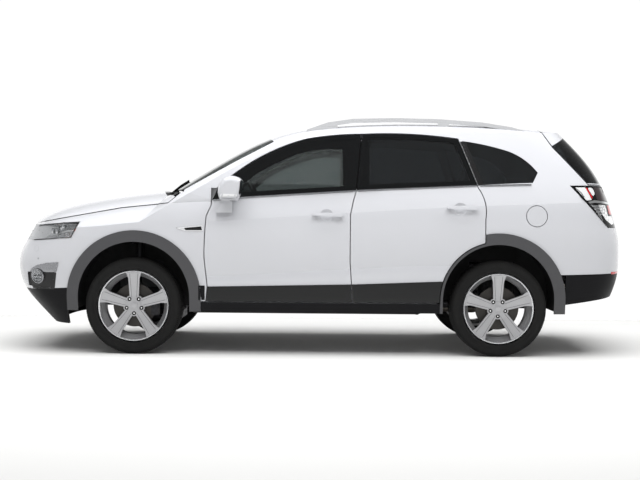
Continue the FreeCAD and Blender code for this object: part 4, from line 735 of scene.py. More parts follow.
def tread_block(y0, y1, r0, r1, start, end, slant):
    """One block: from y0 to y1 across, its top at r0 then r1, from start to end of the pitch, slanted."""
    pitch = 2 * math.pi / pitches
    verts = []
    for deep, inset in ((groove_depth, 0.0), (0.0012, 0.0), (0.0, 0.001)):
        for y, r, s, way in ((y0, r0, start, 1), (y1, r1, start, 1), (y1, r1, end, -1), (y0, r0, end, -1)):
            y = y + (inset if y == min(y0, y1) else -inset)
            angle = pitch * (s + slant * (y - y0) / (y1 - y0)) + way * inset / r
            verts.append(Vector(((r - deep) * math.sin(angle), y, (r - deep) * math.cos(angle))))
    faces = [[8, 9, 10, 11], [3, 2, 1, 0]]
    for row in (0, 4):
        faces += [[row + k, row + (k + 1) % 4, row + 4 + (k + 1) % 4, row + 4 + k] for k in range(4)]
    return verts, faces


half_pitch = [tread_block(0.006, 0.026, 0.3568, 0.357, 0.04, 0.9, 0.25),
              tread_block(0.035, 0.068, 0.357, 0.3566, 0.1, 0.92, 0.35),
              tread_block(0.077, 0.1035, 0.3562, 0.3508, 0.05, 0.48, 0.05),
              tread_block(0.077, 0.1035, 0.3562, 0.3508, 0.56, 0.98, 0.05),
              tread_block(0.1035, 0.1125, 0.35, 0.34, 0.1, 0.44, 0.0),
              tread_block(0.1035, 0.1125, 0.35, 0.34, 0.6, 0.94, 0.0)]
one_pitch = joined(*half_pitch, *[mirrored(form) for form in half_pitch])
for end, x in axles.items():
    for side, sign in (("left", -1), ("right", 1)):
        centre = Vector((x, sign * wheel_out, axle_height))
        body = f"wheel_{end}_{side}"
        carcass = piece(f"tyre_carcass_{end}_{side}", body, TYRE,
                        turned_form(tyre_section, centre, 144), crease=50)
        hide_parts(f"tyre_{end}_{side}")
        tread = grown_by(round_axle, f"tyre_tread_{end}_{side}", one_pitch,
                         {"Count": pitches, "Centre": centre}, body, TYRE)
print("tread faces on one tyre:", len(tread.data.polygons))

# %% [markdown]
# ## Wheels
# The imported wheel already has its five spokes, bolt bosses and brake disc. Painted alloy wheels of this kind
# have a raised panel down each spoke, five chromed bolts in pockets, a bare cap, and a thin bright edge. Thin grey
# strips of painted shade run along the panel's edges, and gloss black cups of painted shade line the pockets. The
# brake disc's dark plate is partly the iron's own grey and partly painted shade of the wheel's inside. The panel,
# its shade lines, the pockets and the bolts are each drawn once on the upright spoke and copied round by the tree.

# %% Wheels
SPOKES = 5
BOLT_CIRCLE, BOLT_TURN = 0.058, TURN(36)
VALVE_CIRCLE, VALVE_TURN, VALVE_OUT = 0.232, TURN(216), 0.868
for end, x in axles.items():
    for side, sign in (("left", -1), ("right", 1)):
        body = f"wheel_{end}_{side}"
        skin = skin_of(f"rim_{end}_{side}")
        view = "side" if sign < 0 else "far_side"
        centre = Vector((x, 0, axle_height))

        def upright(outline):
            return [(x + u, axle_height + v) for u, v in outline]

        def turned(rows, spot, steps):
            """A form turned about a line along Y, its rows as heights off the wheel's face and radii."""
            return turned_form([(sign * a, r) for a, r in rows], spot, steps)

        def around(name, look, form, crease=35.0):
            moved = [Vector(v) - centre for v in form[0]], form[1]
            values = {"Count": SPOKES, "Centre": centre}
            grown_by(round_axle, f"{name}_{end}_{side}", moved, values, body, look, crease)

        panel = rounded(upright([(-0.015, 0.05), (-0.027, 0.236), (-0.0235, 0.25), (0.0235, 0.25),
                                 (0.027, 0.236), (0.015, 0.05)]), 0.012)
        around("spoke_panels", ALLOY, plate_form(skin, view, panel, 0.0022, 0.006, 0.016))
        # Thin grey strips along both long edges of each panel and across its top are painted shade, where the panel
        # steps down.
        lines = [[(hand * 0.0165, 0.06), (hand * 0.0285, 0.238), (hand * 0.0318, 0.236), (hand * 0.0192, 0.06)]
                 for hand in (-1, 1)]
        lines.append([(-0.0255, 0.2535), (0.0255, 0.2535), (0.0255, 0.2505), (-0.0255, 0.2505)])
        around("spoke_panel_shadows", (spoke_shadow_grey, "rim_alloy"),
               joined(*[plate_form(skin, view, upright(line), 0.0006, 0.003, 0.012) for line in lines]))
        bolt_x, bolt_z = x + BOLT_CIRCLE * math.sin(BOLT_TURN), axle_height + BOLT_CIRCLE * math.cos(BOLT_TURN)
        bolt_spot = (bolt_x, cast(skin, view, bolt_x, bolt_z)[0].y, bolt_z)
        # Each bolt pocket is lined with a gloss black cup: painted shade of the recess.
        around("bolt_pocket_shades", (gloss_black, "black_trim"),
               turned([(0.0006, 0), (0.0006, 0.0125), (0.019, 0.014), (0.019, 0.0146), (0.0001, 0.0146),
                       (0.0001, 0)], bolt_spot, 24))
        around("wheel_bolts", (chrome, "steel"),
               turned([(0.0004, 0), (0.0004, 0.01), (0.003, 0.0098), (0.004, 0.008), (0.013, 0.0076),
                       (0.015, 0.006), (0.016, 0)], bolt_spot, 6), crease=25)
        face_y = cast(skin, view, x, axle_height)[0].y
        lip_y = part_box(f"rim_{end}_{side}")[0 if sign < 0 else 1].y
        valve_spot = (x + VALVE_CIRCLE * math.sin(VALVE_TURN), sign * VALVE_OUT,
                      axle_height + VALVE_CIRCLE * math.cos(VALVE_TURN))
        for name, look, rows, spot, steps in (
                ("wheel_cap", ALLOY, [(0.0035, 0), (0.0032, 0.012), (0.0022, 0.02), (0.0006, 0.024), (0.0014, 0.0252),
                                      (0.0014, 0.0275), (-0.004, 0.028), (-0.004, 0)], (x, face_y, axle_height), 40),
                ("rim_edge", (chrome_soft, "rim_alloy"),
                 [(0, 0.256), (0, 0.2676), (-0.006, 0.2684), (-0.02, 0.252), (-0.018, 0.249), (-0.005, 0.251)],
                 (x, lip_y, axle_height), 128),
                ("brake_disc", (brake_dark, "steel"),
                 [(0.048, 0.052), (0.048, 0.0838), (0.021, 0.0838), (0.021, 0.1606), (0.019, 0.1616),
                  (-0.005, 0.1616), (-0.0065, 0.1606), (-0.0065, 0.052)], (x, sign * wheel_out, axle_height), 96),
                ("valve", CLAD, [(0.01, 0), (0.01, 0.0035), (-0.014, 0.0045), (-0.014, 0)], valve_spot, 12)):
            piece(f"{name}_{end}_{side}", body, look, turned(rows, spot, steps))
print("wheels dressed")

# %% [markdown]
# ## Bright strips, vents and mirrors
# The strip along the windows is satin chromed, pressed onto the edge of each panel, so every door carries its
# own length of it. A path is cast along the belt line on each door and swept by the tree, then mirrored.

# %% Belt strips
BELOW_STRIP = 0.009
for name, bodies, panels, run in (
        ("front", front_doors, ("front_door_left", "front_door_trim_left"),
         [(-0.783, 1.1475), (-0.562, 1.169), (0.266, 1.2245)]),
        ("rear", rear_doors, ("rear_door_left", "rear_door_trim_left"),
         [(0.286, 1.226), (0.452, 1.235), (1.168, 1.2694)]),
        ("quarter", shell, ("body_side_left", "fixed_windows"), [(1.192, 1.2705), (1.576, 1.2805)])):
    skin = skin_of(*panels)
    both_strips(f"belt_strip_{name}", CRESCENT, skin_path(skin, "side", run, 0.0012), 0.0125, 0.0045, bodies=bodies)
    # Just under each strip runs a thin black line of painted shade: the strip's shadow on the paint.
    below = [(x, z - BELOW_STRIP) for x, z in run]
    both_strips(f"belt_shadow_{name}", SHADOW, skin_path(skin, "side", below, 0.0004), 0.004, 0.0014, 0.0004, bodies)

# %% Black frames of the windows
# A gloss black band covers the header and the pillar of each front door: partly the frame's own black, and partly
# painted shade that the header casts across the top of the glass. The rear doors carry its other half, and the
# pillars behind the gaps are blacked out too, so no paint shows between the windows.
front_frame = skin_of("front_door_trim_left", "front_door_glass_left")
rear_frame = skin_of("rear_door_trim_left", "rear_door_glass_left")
pillar_skin = skin_of("body_side_left", "fixed_windows")
corner_skin = skin_of("front_wings", "arch_trims", "sill_trims", "body_side_left")
plate("window_band_front", GLOSS, front_frame, "side",
      [(-0.6, 1.328), (-0.4, 1.48), (-0.19, 1.575), (0.024, 1.62), (0.29, 1.632), (0.267, 1.24),
       (0.178, 1.236), (0.17, 1.538), (0.067, 1.541), (-0.047, 1.528), (-0.176, 1.494), (-0.348, 1.414),
       (-0.463, 1.348), (-0.553, 1.273)], 0, 0.0012, 0.003, bodies=front_doors)
plate("window_band_rear", GLOSS, rear_frame, "side",
      [(0.289, 1.244), (0.372, 1.247), (0.374, 1.618), (0.314, 1.63)], 0, 0.0012, 0.003, bodies=rear_doors)
plate("pillar_black_middle", SHADOW, pillar_skin, "side",
      [(0.24, 1.236), (0.33, 1.24), (0.35, 1.625), (0.27, 1.625)], 0, 0.0008, 0.002)
plate("pillar_black_rear", SHADOW, pillar_skin, "side",
      [(1.172, 1.268), (1.224, 1.272), (1.098, 1.604), (1.046, 1.602)], 0, 0.0015, 0.003, 0.008)
plate("wing_corner_cladding", CLAD, corner_skin, "side",
      [(-0.888, 0.512), (-0.842, 0.512), (-0.842, 0.405), (-0.888, 0.405)], 0, 0.0028, 0.005, 0.008)

# %% Wing vents
wing_skin = skin_of("front_wings")
vent = rounded([(-1.057, 0.937), (-0.868, 0.956), (-0.852, 0.948), (-0.858, 0.915), (-0.99, 0.914)], 0.008)
both_pieces("wing_vent_frame", CHROME, ring_form(wing_skin, "side", vent, 0.006, 0.0035, 0.006))
plate("wing_vent_back", GLOSS, wing_skin, "side",
      [(-0.998, 0.9385), (-0.872, 0.9505), (-0.864, 0.9205), (-0.985, 0.9195)], 0, 0.001, 0.004)
plate("wing_vent_blade", SATIN, wing_skin, "side", [(-1.05, 0.9365), (-0.998, 0.94), (-0.988, 0.918)],
      0, 0.0022, 0.004)
bars = [skin_path(wing_skin, "side", [(x, 0.921), (x + 0.004, 0.944)], 0.0016)
        for x in (-0.975, -0.955, -0.935, -0.915, -0.895, -0.878)]
both_strips("wing_vent_bars", CLAD, joined_paths(*bars), 0.004, 0.004)

# %% Door mirrors
mirror_skin = skin_of("mirror_left")
mirror_face = rounded([(-1.03, 1.185), (-1.03, 1.29), (-0.925, 1.296), (-0.905, 1.18)], 0.025)
both_pieces("mirror_rim", CLAD, ring_form(mirror_skin, "rear", mirror_face, 0.01, 0.003, 0.012), front_doors)
plate("mirror_glass", (mirror_silver, "window_glass"), mirror_skin, "rear",
      [(-1.022, 1.193), (-1.022, 1.283), (-0.93, 1.288), (-0.913, 1.189)], 0.02, 0.0012, 0.006, bodies=front_doors)
plate("mirror_repeater", (lamp_milk, "lamp_glass"), mirror_skin, "side",
      [(-0.722, 1.168), (-0.716, 1.19), (-0.6, 1.186), (-0.6, 1.172)], 0.006, 0.0004, 0.005, 0.02, front_doors)
seam = skin_path(mirror_skin, "side", [(-0.732, 1.16), (-0.66, 1.156), (-0.576, 1.16)], -0.0004)
both_strips("mirror_seam", SHADOW, seam, 0.004, 0.0012, 0.0004, front_doors)
print("belt, vents and mirrors dressed")

# %% [markdown]
# ## Nose
# The nose has a narrow upper grille, a painted bar that carries the plate, a lower intake and a fog lamp in
# a black pocket at each corner, under a chromed crescent. Slats and mesh repeat, so paths at even heights go
# through the sweep tree together.

# %% Grilles
NOSE_BOW = 0.12               # the nose bows back by this times the square of the distance out


def bowed(x_middle, z, half, steps=10):
    """A path across the nose at one height."""
    ys = [half * (2 * i / steps - 1) for i in range(steps + 1)]
    return line_form([(x_middle + NOSE_BOW * y * y, y, z) for y in ys])


def upright_bars(x_low, x_high, z_low, z_high, half, spacing):
    count = int(2 * half / spacing)
    ys = [-half + 2 * half * i / count for i in range(count + 1)]
    return joined_paths(*[line_form([(x + NOSE_BOW * y * y, y, z) for x, z in ((x_low, z_low), (x_high, z_high))],
                                    (-1, 0, 0)) for y in ys])


SLAT_LEAN = 0.2               # the lower slats step back by this share of their drop from the top one
lower_slats = [bowed(-2.312 + SLAT_LEAN * (0.585 - z), z, half)
               for z, half in ((0.51, 0.512), (0.536, 0.528), (0.562, 0.54))]
for name, look, path, width, height, ease in (
        ("upper_grille_slats", GLOSS, joined_paths(bowed(-2.25, 0.874, 0.43), bowed(-2.24, 0.898, 0.43)),
         0.01, 0.016, 0.002),
        ("upper_grille_mesh", CLAD, upright_bars(-2.246, -2.224, 0.856, 0.922, 0.42, 0.018), 0.004, 0.006, 0.0008),
        ("upper_grille_bright_bar", CHROME, bowed(-2.262, 0.8585, 0.445), 0.007, 0.01, 0.002),
        ("lower_grille_slats", GLOSS, joined_paths(*lower_slats), 0.01, 0.018, 0.002),
        ("lower_grille_mesh", CLAD, upright_bars(-2.286, -2.31, 0.492, 0.59, 0.54, 0.024), 0.005, 0.006, 0.0008)):
    strip(name, "body", look, path, width, height, ease)


# %% Corners of the nose: fog lamps, crescent, caps
def circle(u, v, radius, step):
    """A closed outline: points on a circle, step degrees apart."""
    return [(u + radius * math.cos(TURN(a)), v + radius * math.sin(TURN(a))) for a in range(0, 360, step)]


def oblong(half, low, high):
    """An upright oblong about the middle of the car."""
    return [(-half, low), (half, low), (half, high), (-half, high)]


nose_skin = skin_of("front_bumper", "front_guard")
plate("fog_crescent", CRESCENT, nose_skin, "side",
      [(-2.163, 0.597), (-2.148, 0.624), (-2.1, 0.65), (-2.02, 0.668), (-1.928, 0.674), (-1.946, 0.6)],
      0.008, 0.003, 0.008, 0.02)
plate("fog_pocket", SHADOW, nose_skin, "side",
      [(-2.168, 0.594), (-1.947, 0.598), (-1.963, 0.471), (-2.148, 0.474)], 0.008, 0.0022, 0.005, 0.008)
fog_spot, fog_slope = cast(nose_skin, "side", -2.094, 0.569)
both_pieces("fog_lamp", CRESCENT, turned_form(
    [(0.002, 0), (0.004, 0.03), (0.01, 0.047), (0.013, 0.05), (0.013, 0.055), (0.009, 0.058), (-0.006, 0.058),
     (-0.006, 0)], fog_spot, 48, fog_slope))
both_pieces("fog_lens", (lamp_clear, "lamp_glass"), turned_form(
    [(0.0142, 0), (0.0138, 0.025), (0.012, 0.046), (0.008, 0.0495), (0.006, 0.0495), (0.01, 0.044), (0.0118, 0.025),
     (0.0122, 0)], fog_spot, 48, fog_slope))
fog_across = fog_slope.cross(Vector((0, 0, 1))).normalized()
fog_up = fog_across.cross(fog_slope)
RIB_LIFT, RIB_HALF = 0.01, 0.036
ribs = [path_form([fog_spot + fog_slope * RIB_LIFT + fog_across * reach + fog_up * dz
                   for reach in (-RIB_HALF, RIB_HALF)], [fog_slope] * 2) for dz in (-0.02, 0.004)]
both_strips("fog_ribs", GLOSS, joined_paths(*ribs), 0.005, 0.004, 0.001)
washer = circle(-2.11, 0.772, 0.021, 15)
both_pieces("washer_cap", (pearl_white, "paint"), ring_form(nose_skin, "side", washer, 0.002, 0.0006, 0.003))
both_strips("washer_cap_seam", SEAM, skin_path(nose_skin, "side", washer, 0.0001, 0.02, closed=True),
            0.0016, 0.0008, 0.0003)
plate("park_sensor", SEAM, nose_skin, "side", circle(-2.091, 0.699, 0.007, 30), 0, 0.0008, 0.003)
plate("front_plate_holder", CLAD, nose_skin, "front", oblong(0.26, 0.705, 0.815), 0.01, 0.0018, 0.008, 0.04, "body")
plate("front_plate_blank", PLATE, nose_skin, "front", oblong(0.252, 0.713, 0.807), 0.008, 0.0032, 0.004, 0.04, "body")

# %% [markdown]
# ## Tail
# The tailgate carries a wiper, a red lamp in the spoiler, a bright strip above the plate and a blank plate. The
# bumper has a reflector at each corner and round parking sensors.

# %% Tail details
gate_skin = skin_of("tailgate", "tailgate_window")
plate("rear_plate_recess", GLOSS, gate_skin, "rear",
      [(-0.33, 0.885), (0.33, 0.885), (0.3, 1.05), (-0.3, 1.05)], 0.02, 0.001, 0.006, 0.04, "tailgate")
plate("rear_plate_blank", PLATE, gate_skin, "rear", oblong(0.26, 0.9, 1.01), 0.01, 0.004, 0.004, 0.04, "tailgate")
strip("tailgate_bright_strip", "tailgate", CHROME,
      skin_path(gate_skin, "rear", [(-0.36, 1.062), (0.36, 1.062)], 0.006, 0.05), 0.026, 0.012, 0.004)
plate("stop_lamp", RED, skin_of("tailgate"), "rear", oblong(0.17, 1.664, 1.678), 0.004, 0.0015, 0.006,
      bodies="tailgate")
bumper_skin = skin_of("rear_bumper", "rear_guard", "body_side_left")
plate("rear_reflector", RED, bumper_skin, "side",
      [(2.195, 0.614), (2.195, 0.632), (2.285, 0.634), (2.285, 0.618)], 0.006, 0.0022, 0.006, 0.02)
for index, y in enumerate((-0.52, -0.2)):
    spot, slope = cast(bumper_skin, "rear", y, 0.74)
    both_pieces(f"rear_park_sensor_{index}", SEAM, turned_form(
        [(0, 0), (0.0012, 0), (0.0012, 0.0095), (0, 0.0105), (-0.003, 0.0105), (-0.003, 0)], spot, 24, slope))
NO_MORE_POINTS = 9.0          # a spacing wider than any run, so a path keeps only the points it is given
arm = [(0.02, 1.618), (-0.02, 1.54), (-0.07, 1.44), (-0.1, 1.36)]
blade = [(0.12, 1.395), (-0.02, 1.372), (-0.16, 1.355), (-0.3, 1.345)]
strip("rear_wiper_arm", "tailgate", GLOSS, skin_path(gate_skin, "rear", arm, 0.016, NO_MORE_POINTS),
      0.014, 0.01, 0.003)
strip("rear_wiper_blade", "tailgate", CLAD, skin_path(gate_skin, "rear", blade, 0.0065, NO_MORE_POINTS),
      0.012, 0.012, 0.003)
wiper_root, wiper_slope = cast(gate_skin, "rear", *arm[0])
piece("rear_wiper_boss", "tailgate", GLOSS, turned_form(
    [(-0.002, 0), (-0.002, 0.022), (0.014, 0.02), (0.022, 0.014), (0.024, 0)], wiper_root, 32, wiper_slope))

# %% Windscreen wipers
screen_skin = skin_of("fixed_windows", "cowl_panel")
for name, run, pivot in (("left", [(-1.116, -0.56), (-1.13, -0.34), (-1.138, -0.12)], (-1.146, -0.44)),
                         ("right", [(-1.148, -0.02), (-1.142, 0.2), (-1.118, 0.42)], (-1.163, 0.1))):
    strip(f"wiper_blade_{name}", "body", CLAD, skin_path(screen_skin, "top", run, 0.007, 0.06), 0.011, 0.012, 0.003)
    root, middle = cast(screen_skin, "top", *pivot)[0], cast(screen_skin, "top", *run[1])[0]
    bend = [spot + Vector((0, 0, lift))
            for spot, lift in ((root, 0.01), ((root + middle) / 2, 0.02), (middle, 0.017))]
    strip(f"wiper_arm_{name}", "body", GLOSS, line_form(bend), 0.014, 0.008, 0.002)
    piece(f"wiper_boss_{name}", "body", GLOSS, turned_form(
        [(-0.004, 0), (-0.004, 0.015), (0.012, 0.014), (0.017, 0.009), (0.018, 0)], root, 24, (0, 0, 1)))
print("nose and tail dressed")

# %% [markdown]
# ## Lamps
# A headlamp is a clear cover over a housing with chromed bowls. Both lamps wrap round a corner, so their parts
# are drawn in a view from the corner, at 45 degrees, and cast on the lamp from there.

# %% Headlamps
corner = math.sqrt(0.5)
VIEWS["nose_corner"] = (lambda u, v: Vector((-corner * u - 3, corner * u - 3, v)), Vector((corner, corner, 0)))
VIEWS["tail_corner"] = (lambda u, v: Vector((corner * u + 3, corner * u - 3, v)), Vector((-corner, corner, 0)))


def from_side(skin, view, points):
    """Side-view points as corner-view points on the same skin."""
    sign = -1 if view == "nose_corner" else 1
    spots = [cast(skin, "side", x, z)[0] for x, z in points]
    return [(corner * (sign * spot.x + spot.y), z) for spot, (_, z) in zip(spots, points)]


lamp_skin = skin_of("headlamp_housings")


def lamp_plate(name, look, points, ease, lift, depth, spacing=0.02, more=()):
    """A plate in the headlamp, from side-view points and more corner-view ones."""
    plate(f"headlamp_{name}", look, lamp_skin, "nose_corner",
          from_side(lamp_skin, "nose_corner", points) + list(more), ease, lift, depth, spacing)


lamp_plate("bezel", (satin_grey, "rail_silver"), [(-2.045, 0.836), (-2.02, 0.93), (-2.05, 0.948)],
           0, 0.004, 0.006, 0.03, [(1.06, 0.94), (1.19, 0.925), (1.19, 0.842)])
lamp_plate("upper_bowl", FACETS, [(-2.04, 0.862), (-2.012, 0.94), (-1.905, 0.962), (-1.806, 0.966), (-1.822, 0.912),
                                  (-1.93, 0.898)], 0.012, 0.005, 0.007)
lamp_plate("lower_bowl", FACETS, [(-2.04, 0.842), (-1.95, 0.846), (-1.85, 0.862), (-1.83, 0.9), (-1.93, 0.886),
                                  (-2.036, 0.856)], 0.01, 0.003, 0.005)
rings = []
for x, z, radius in ((-1.975, 0.925, 0.03), (-1.892, 0.872, 0.017)):
    spot, slope = cast(lamp_skin, "nose_corner", *from_side(lamp_skin, "nose_corner", [(x, z)])[0])
    rings.append(turned_form([(0.006, 0), (0.006, radius * 0.8), (0.013, radius), (0.015, radius),
                              (0.015, radius * 1.12), (0.002, radius * 1.16), (0.002, 0)], spot, 40, slope))
both_pieces("headlamp_rings", CHROME, joined(*rings))
front_spots = [cast(lamp_skin, "front", y, 0.887)[0] for y in (-0.6, -0.505)]
for name, look, rows in (
        ("projectors", CHROME,
         [(0.002, 0), (0.002, 0.036), (0.016, 0.034), (0.018, 0.031), (0.012, 0.028), (0.01, 0)]),
        ("projector_lenses", (dark_lens, "lamp_glass"),
         [(0.011, 0), (0.011, 0.026), (0.015, 0.022), (0.0175, 0.012), (0.018, 0)])):
    both_pieces(f"headlamp_{name}", look, joined(*[turned_form(rows, spot, 40, (-1, 0, 0)) for spot in front_spots]))
lamp_plate("side_reflector", (amber_solid, "lamp_glass"),
           [(-1.82, 0.906), (-1.808, 0.924), (-1.801, 0.922), (-1.813, 0.904)], 0, 0.008, 0.004)
seal = [(-2.14, 0.837), (-1.84, 0.86), (-1.787, 0.966), (-1.9, 0.966), (-2.112, 0.94)]
both_strips("headlamp_seal", SHADOW, skin_path(skin_of("headlamp_lenses"), "side", seal, 0.0, 0.02),
            0.009, 0.003, 0.001)

# %% Tail lamps
tail_skin = skin_of("tail_lamps")
for name, look, lift, ease, points in (
        ("clear_panel", MILK, 0.0016, 0.006, [(0.782, 1.262), (0.858, 1.264), (0.88, 1.17), (0.836, 1.166)]),
        ("red_edge", RED, 0.003, 0.006, [(0.86, 1.26), (0.872, 1.262), (0.892, 1.19), (0.884, 1.176)]),
        ("bright_lobe", MILK, 0.0022, 0.02, [(0.876, 1.262), (0.925, 1.262), (0.93, 1.22), (0.9, 1.195)]),
        ("stop_block", (lamp_smoked, "tail_lamp_red"), 0.0018, 0.015,
         [(0.935, 1.268), (1.128, 1.262), (1.132, 1.16), (0.93, 1.17)]),
        ("divider", CHROME, 0.0034, 0.004, [(0.845, 1.156), (0.9, 1.168), (1.132, 1.152), (1.132, 1.138),
                                            (0.9, 1.15), (0.856, 1.142)]),
        ("lower_block", RED, 0.0018, 0.012, [(1.062, 1.13), (1.134, 1.13), (1.14, 1.06), (1.062, 1.062)]),
        ("lower_bowl", FACETS, 0.0014, 0.008, [(0.93, 1.136), (1.022, 1.132), (1.026, 1.05), (1.12, 1.05),
                                               (1.14, 1.0), (1.06, 0.985), (0.985, 1.02), (0.945, 1.075)])):
    plate(f"tail_lamp_{name}", look, tail_skin, "tail_corner", points, ease, lift, 0.005, 0.02)
lattice = [([(0.862 + 0.012 * k, 1.136 - 0.002 * k), (0.876 + 0.0125 * k, 1.118 - 0.022 * k)], 0.002)
           for k in range(6)]
lattice += [([(0.872 + 0.016 * k, 1.124 - 0.022 * k), (0.94 + 0.008 * k, 1.128 - 0.02 * k)], 0.0022)
            for k in range(4)]
threads = [skin_path(tail_skin, "tail_corner", run, lift, 0.02) for run, lift in lattice]
both_strips("tail_lamp_lattice", SATIN, joined_paths(*threads), 0.003, 0.003, 0.0006)
edge = from_side(tail_skin, "tail_corner", [(2.15, 0.972), (2.045, 1.06), (1.9, 1.235), (1.878, 1.262),
                                            (1.89, 1.274), (1.99, 1.276)]) + [(1.0, 1.274), (1.12, 1.27)]
both_strips("tail_lamp_seal", SHADOW, skin_path(tail_skin, "tail_corner", edge, 0.0008, 0.02), 0.007, 0.004, 0.0012)
print("lamps dressed")

# %% [markdown]
# ## Seats
# A car seat is moulded foam under a sewn cover: a crowned cushion between two firmer bolsters, a back of the
# same kind and a small headrest. Each pad is a row of rounded sections along a line in the side view, with its
# ends drawn in, and one level of subdivision. Piping then follows the surface where the cover is sewn.

# %% Pads
RIDGE, SADDLE = 5, 0.35       # how sharply a bolster rises, and how far the middle sinks for it
END_OUT, END_NARROW, END_THIN = 0.012, 0.9, 0.45     # how a pad's ends are drawn in


def pad_form(line, halves, thicks, y_middle, bolster=0.0, power=3.2, around=28):
    """A stuffed form along a side-view line: half widths and thicknesses at its points, bolsters at its edges."""
    count = len(line)
    rings = []
    for i in range(count):
        here = Vector((line[i][0], 0, line[i][1]))
        before, after = line[max(0, i - 1)], line[min(count - 1, i + 1)]
        run = Vector((after[0] - before[0], 0, after[1] - before[1])).normalized()
        off = Vector((-run.z, 0, run.x))
        if off.z < 0 or (abs(off.z) < 0.3 and off.x > 0):
            off = -off
        ring = []
        for k in range(around):
            angle = 2 * math.pi * k / around
            c, s = math.cos(angle), math.sin(angle)
            y = halves[i] * math.copysign(abs(c) ** (2 / power), c)
            n = thicks[i] / 2 * math.copysign(abs(s) ** (2 / power), s)
            if s > 0:
                out = abs(y) / max(halves)
                n += bolster * out ** RIDGE - SADDLE * bolster * (1 - out ** 2)
            ring.append(here + off * n + Vector((0, y_middle + y, 0)))
        rings.append(ring)
    verts = [v for ring in rings for v in ring]
    faces = []
    for a in range(0, (count - 1) * around, around):
        for k in range(around):
            n = (k + 1) % around
            faces.append([a + k, a + n, a + around + n, a + around + k])
    for ring, flip in ((0, True), (count - 1, False)):
        middle = sum(rings[ring], Vector()) / around
        verts.append(middle)
        centre = len(verts) - 1
        for k in range(around):
            face = [ring * around + k, ring * around + (k + 1) % around, centre]
            faces.append(face[::-1] if flip else face)
    return verts, faces


def eased_row(points, halves, thicks):
    """Sections of a pad with its two ends drawn in, so that it closes round."""
    start, end = Vector(points[0]), Vector(points[-1])
    first, last = (Vector(points[1]) - start).normalized(), (end - Vector(points[-2])).normalized()
    line = [tuple(start - first * END_OUT), tuple(start)] + points[1:-1] + [tuple(end), tuple(end + last * END_OUT)]
    return (line, [halves[0] * END_NARROW] + halves + [halves[-1] * END_NARROW],
            [thicks[0] * END_THIN] + thicks + [thicks[-1] * END_THIN])


def pad(name, node, rows, y_middle, bolster, power=3.2):
    form = pad_form(*rows, y_middle, bolster, power)
    made = piece(name, "body", CLOTH, form, crease=180, subdivide=1)
    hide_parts(node)
    return BVHTree.FromPolygons(form[0], form[1])


def piping(name, tree, view, runs):
    paths = [skin_path(tree, view, run, 0.0022) for run in runs]
    strip(name, "body", (piping_grey, "seat_fabric"), joined_paths(*paths), 0.0055, 0.005, 0.0018)


def posts(name, y, apart, foot, head):
    """The two posts of a headrest, from (x, z) at the foot to (x, z) at the head."""
    pair = [line_form([(x, y + s * apart, z) for x, z in (foot, head)], (0, 1, 0)) for s in (-1, 1)]
    strip(name, "body", POSTS, joined_paths(*pair), 0.01, 0.01, 0.0045)


def beam(x0, x1, y, half, z0, z1):
    return block_form((x0, y - half, z0), (x1, y + half, z1))


SEAT_OUT, SIDE_OUT, RAIL_OUT = 0.39, 0.225, 0.19
for side, sign in (("left", -1), ("right", 1)):
    y = sign * SEAT_OUT
    cushion = pad(f"front_cushion_{side}", "front_seats",
                  eased_row([(-0.32, 0.615), (-0.2, 0.622), (0.0, 0.6), (0.135, 0.58)],
                            [0.225, 0.242, 0.245, 0.235], [0.115, 0.13, 0.12, 0.11]), y, 0.034)
    back = pad(f"front_back_{side}", "front_seats",
               eased_row([(0.165, 0.66), (0.215, 0.78), (0.262, 0.98), (0.305, 1.15), (0.332, 1.225)],
                         [0.225, 0.24, 0.24, 0.215, 0.165], [0.11, 0.12, 0.11, 0.09, 0.07]), y, 0.036)
    pad(f"front_headrest_{side}", "front_seats",
        eased_row([(0.345, 1.315), (0.362, 1.37), (0.374, 1.42)], [0.11, 0.125, 0.105], [0.07, 0.082, 0.058]),
        y, 0.006)
    piping(f"front_cushion_piping_{side}", cushion, "top",
           [[(-0.3, y - 0.135), (0.12, y - 0.13)], [(-0.3, y + 0.135), (0.12, y + 0.13)],
            [(-0.1, y - 0.13), (-0.1, y + 0.13)]])
    piping(f"front_back_piping_{side}", back, "front",
           [[(y - 0.13, 0.72), (y - 0.105, 1.18)], [(y + 0.13, 0.72), (y + 0.105, 1.18)],
            [(y - 0.12, 0.95), (y + 0.12, 0.95)]])
    posts(f"front_headrest_posts_{side}", y, 0.055, (0.33, 1.215), (0.35, 1.33))
    flanks = [beam(-0.3, 0.235, y + s * SIDE_OUT, 0.018, 0.47, 0.6) for s in (-1, 1)]
    piece(f"front_seat_sides_{side}", "body", CABIN, joined(*flanks), bevel=0.012)
    rails = [beam(-0.34, 0.24, y + s * RAIL_OUT, 0.02, 0.373, 0.4) for s in (-1, 1)]
    legs = [beam(x0, x0 + 0.06, y + s * RAIL_OUT, 0.012, 0.398, 0.56) for s in (-1, 1) for x0 in (-0.27, 0.15)]
    piece(f"front_seat_rails_{side}", "body", STEEL, joined(*rails, *legs), bevel=0.003)
bench = pad("rear_cushion", "rear_seat",
            eased_row([(0.58, 0.64), (0.7, 0.655), (0.88, 0.645), (1.02, 0.64)],
                      [0.575, 0.6, 0.605, 0.59], [0.12, 0.13, 0.11, 0.09]), 0, 0.022, 4.5)
bench_back = pad("rear_back", "rear_seat",
                 eased_row([(1.075, 0.74), (1.11, 0.88), (1.16, 1.06), (1.198, 1.205)],
                           [0.59, 0.605, 0.595, 0.56], [0.11, 0.115, 0.1, 0.075]), 0, 0.022, 4.5)
for index, y in enumerate((-SEAT_OUT, 0, SEAT_OUT)):
    pad(f"rear_headrest_{index}", "rear_seat",
        eased_row([(1.182, 1.3), (1.196, 1.36), (1.206, 1.41)], [0.105, 0.118, 0.1], [0.066, 0.076, 0.056]),
        y, 0.005)
    posts(f"rear_headrest_posts_{index}", y, 0.05, (1.198, 1.2), (1.188, 1.32))
